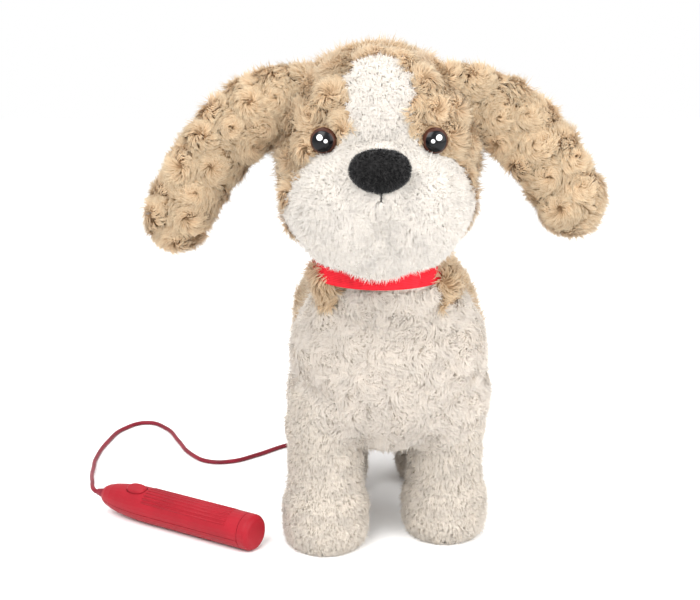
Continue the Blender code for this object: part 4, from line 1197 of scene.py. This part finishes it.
# %% Pieces that stay with the chassis or the tail
for piece, slot, nodes in (
    (head_skin, "plush_tan", ("head_plush", "muzzle_plush")),
    (head_piles[0], "plush_tan", ()),
    (head_piles[1], "plush_tan", ()),
    (head_piles[2], "plush_white", ()),
    (torso_skin, "plush_cream", ("torso_plush",)),
    (body_piles[0], "plush_cream", ()),
    (body_piles[1], "plush_cream", ()),
    (body_tan, "plush_tan", ()),
    (eyes["left"], "eye_gloss", ("eye_left",)),
    (eyes["right"], "eye_gloss", ("eye_right",)),
    (nose_pad, "felt_black", ("nose",)),
    (nose_pile, "felt_black", ()),
    (collar_ribbon, "ribbon_red", ("collar",)),
    (grip_ribs, "plastic_red", ()),
):
    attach(piece, "chassis")
    if nodes:
        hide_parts(*nodes)
for piece, slot in ((tail_skin, "plush_tan"), (tail_tan, "plush_tan")):
    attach(piece, "tail")
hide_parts("tail_plush")

# %% Legs and ears
for word in LEG_WORDS:
    for piece in (leg_skins[word], leg_piles[word]):
        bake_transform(piece)
    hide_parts("leg_plush_" + word)
for word, side in (("left", 1), ("right", -1)):
    for piece in (ear_skins[word], ear_piles[word]):
        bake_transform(piece)
    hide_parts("ear_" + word)
print("bending pieces:", 2 * len(leg_skins) + 2 * len(ear_skins))


# %% Cloth under the pile
def colour_areas(skin, looks, second_area):
    """Gives the second look to the faces whose middles lie in second_area."""
    for look in looks:
        skin.data.materials.append(look)
    middles = np.array([face.center[:] for face in skin.data.polygons])
    for face, second in zip(skin.data.polygons, second_area(own_millimetres(middles))):
        face.material_index = int(second)


colour_areas(head_skin, (tan_cloth, white_cloth), white_of_face)
colour_areas(torso_skin, (cream_cloth, tan_cloth), saddle)
for skin, look in (
    (tail_skin, tan_cloth),
    *((ear_skins[word], tan_cloth) for word in ear_skins),
    *((leg_skins[word], cream_cloth) for word in LEG_WORDS),
):
    skin.data.materials.append(look)

# %% [markdown]
# ## Studio
# A pale floor meets a pale background. One large soft light stands high in front, a weaker one
# fills from the other side, and a third hangs over the back, so that the pile has soft shadow
# between its locks.

# %% Floor and lights
FLOOR_REACH = 1.6
LIGHTS_AIM_AT = (0, -20, 130)
bm = bmesh.new()
bmesh.ops.create_grid(bm, x_segments=1, y_segments=1, size=FLOOR_REACH)
floor_white, *_ = new_finish("floor_white", 0.9, Base_Color=(0.96, 0.96, 0.96, 1))
floor = add_piece("studio_floor", bm, floor_white)
world = bpy.data.worlds.new("studio_world")
world.use_nodes = True
world.node_tree.nodes["Background"].inputs["Color"].default_value = (1, 1, 1, 1)
world.node_tree.nodes["Background"].inputs["Strength"].default_value = 1.0
bpy.context.scene.world = world


def area_light(name, place, power, size):
    data = bpy.data.lights.new(name, "AREA")
    data.energy = power
    data.size = size
    light = bpy.data.objects.new(name, data)
    light.location = at(*place)
    aim = at(*LIGHTS_AIM_AT) - light.location
    light.rotation_euler = aim.to_track_quat("-Z", "Y").to_euler()
    bpy.context.scene.collection.objects.link(light)
    print(name, power, "W,", size, "m across")


area_light("key_light", (-420, -700, 900), 11.0, 0.7)
area_light("fill_light", (650, -500, 500), 6.5, 0.8)
area_light("top_light", (0, 250, 900), 3.0, 0.8)
bpy.context.scene.view_settings.view_transform = "Standard"
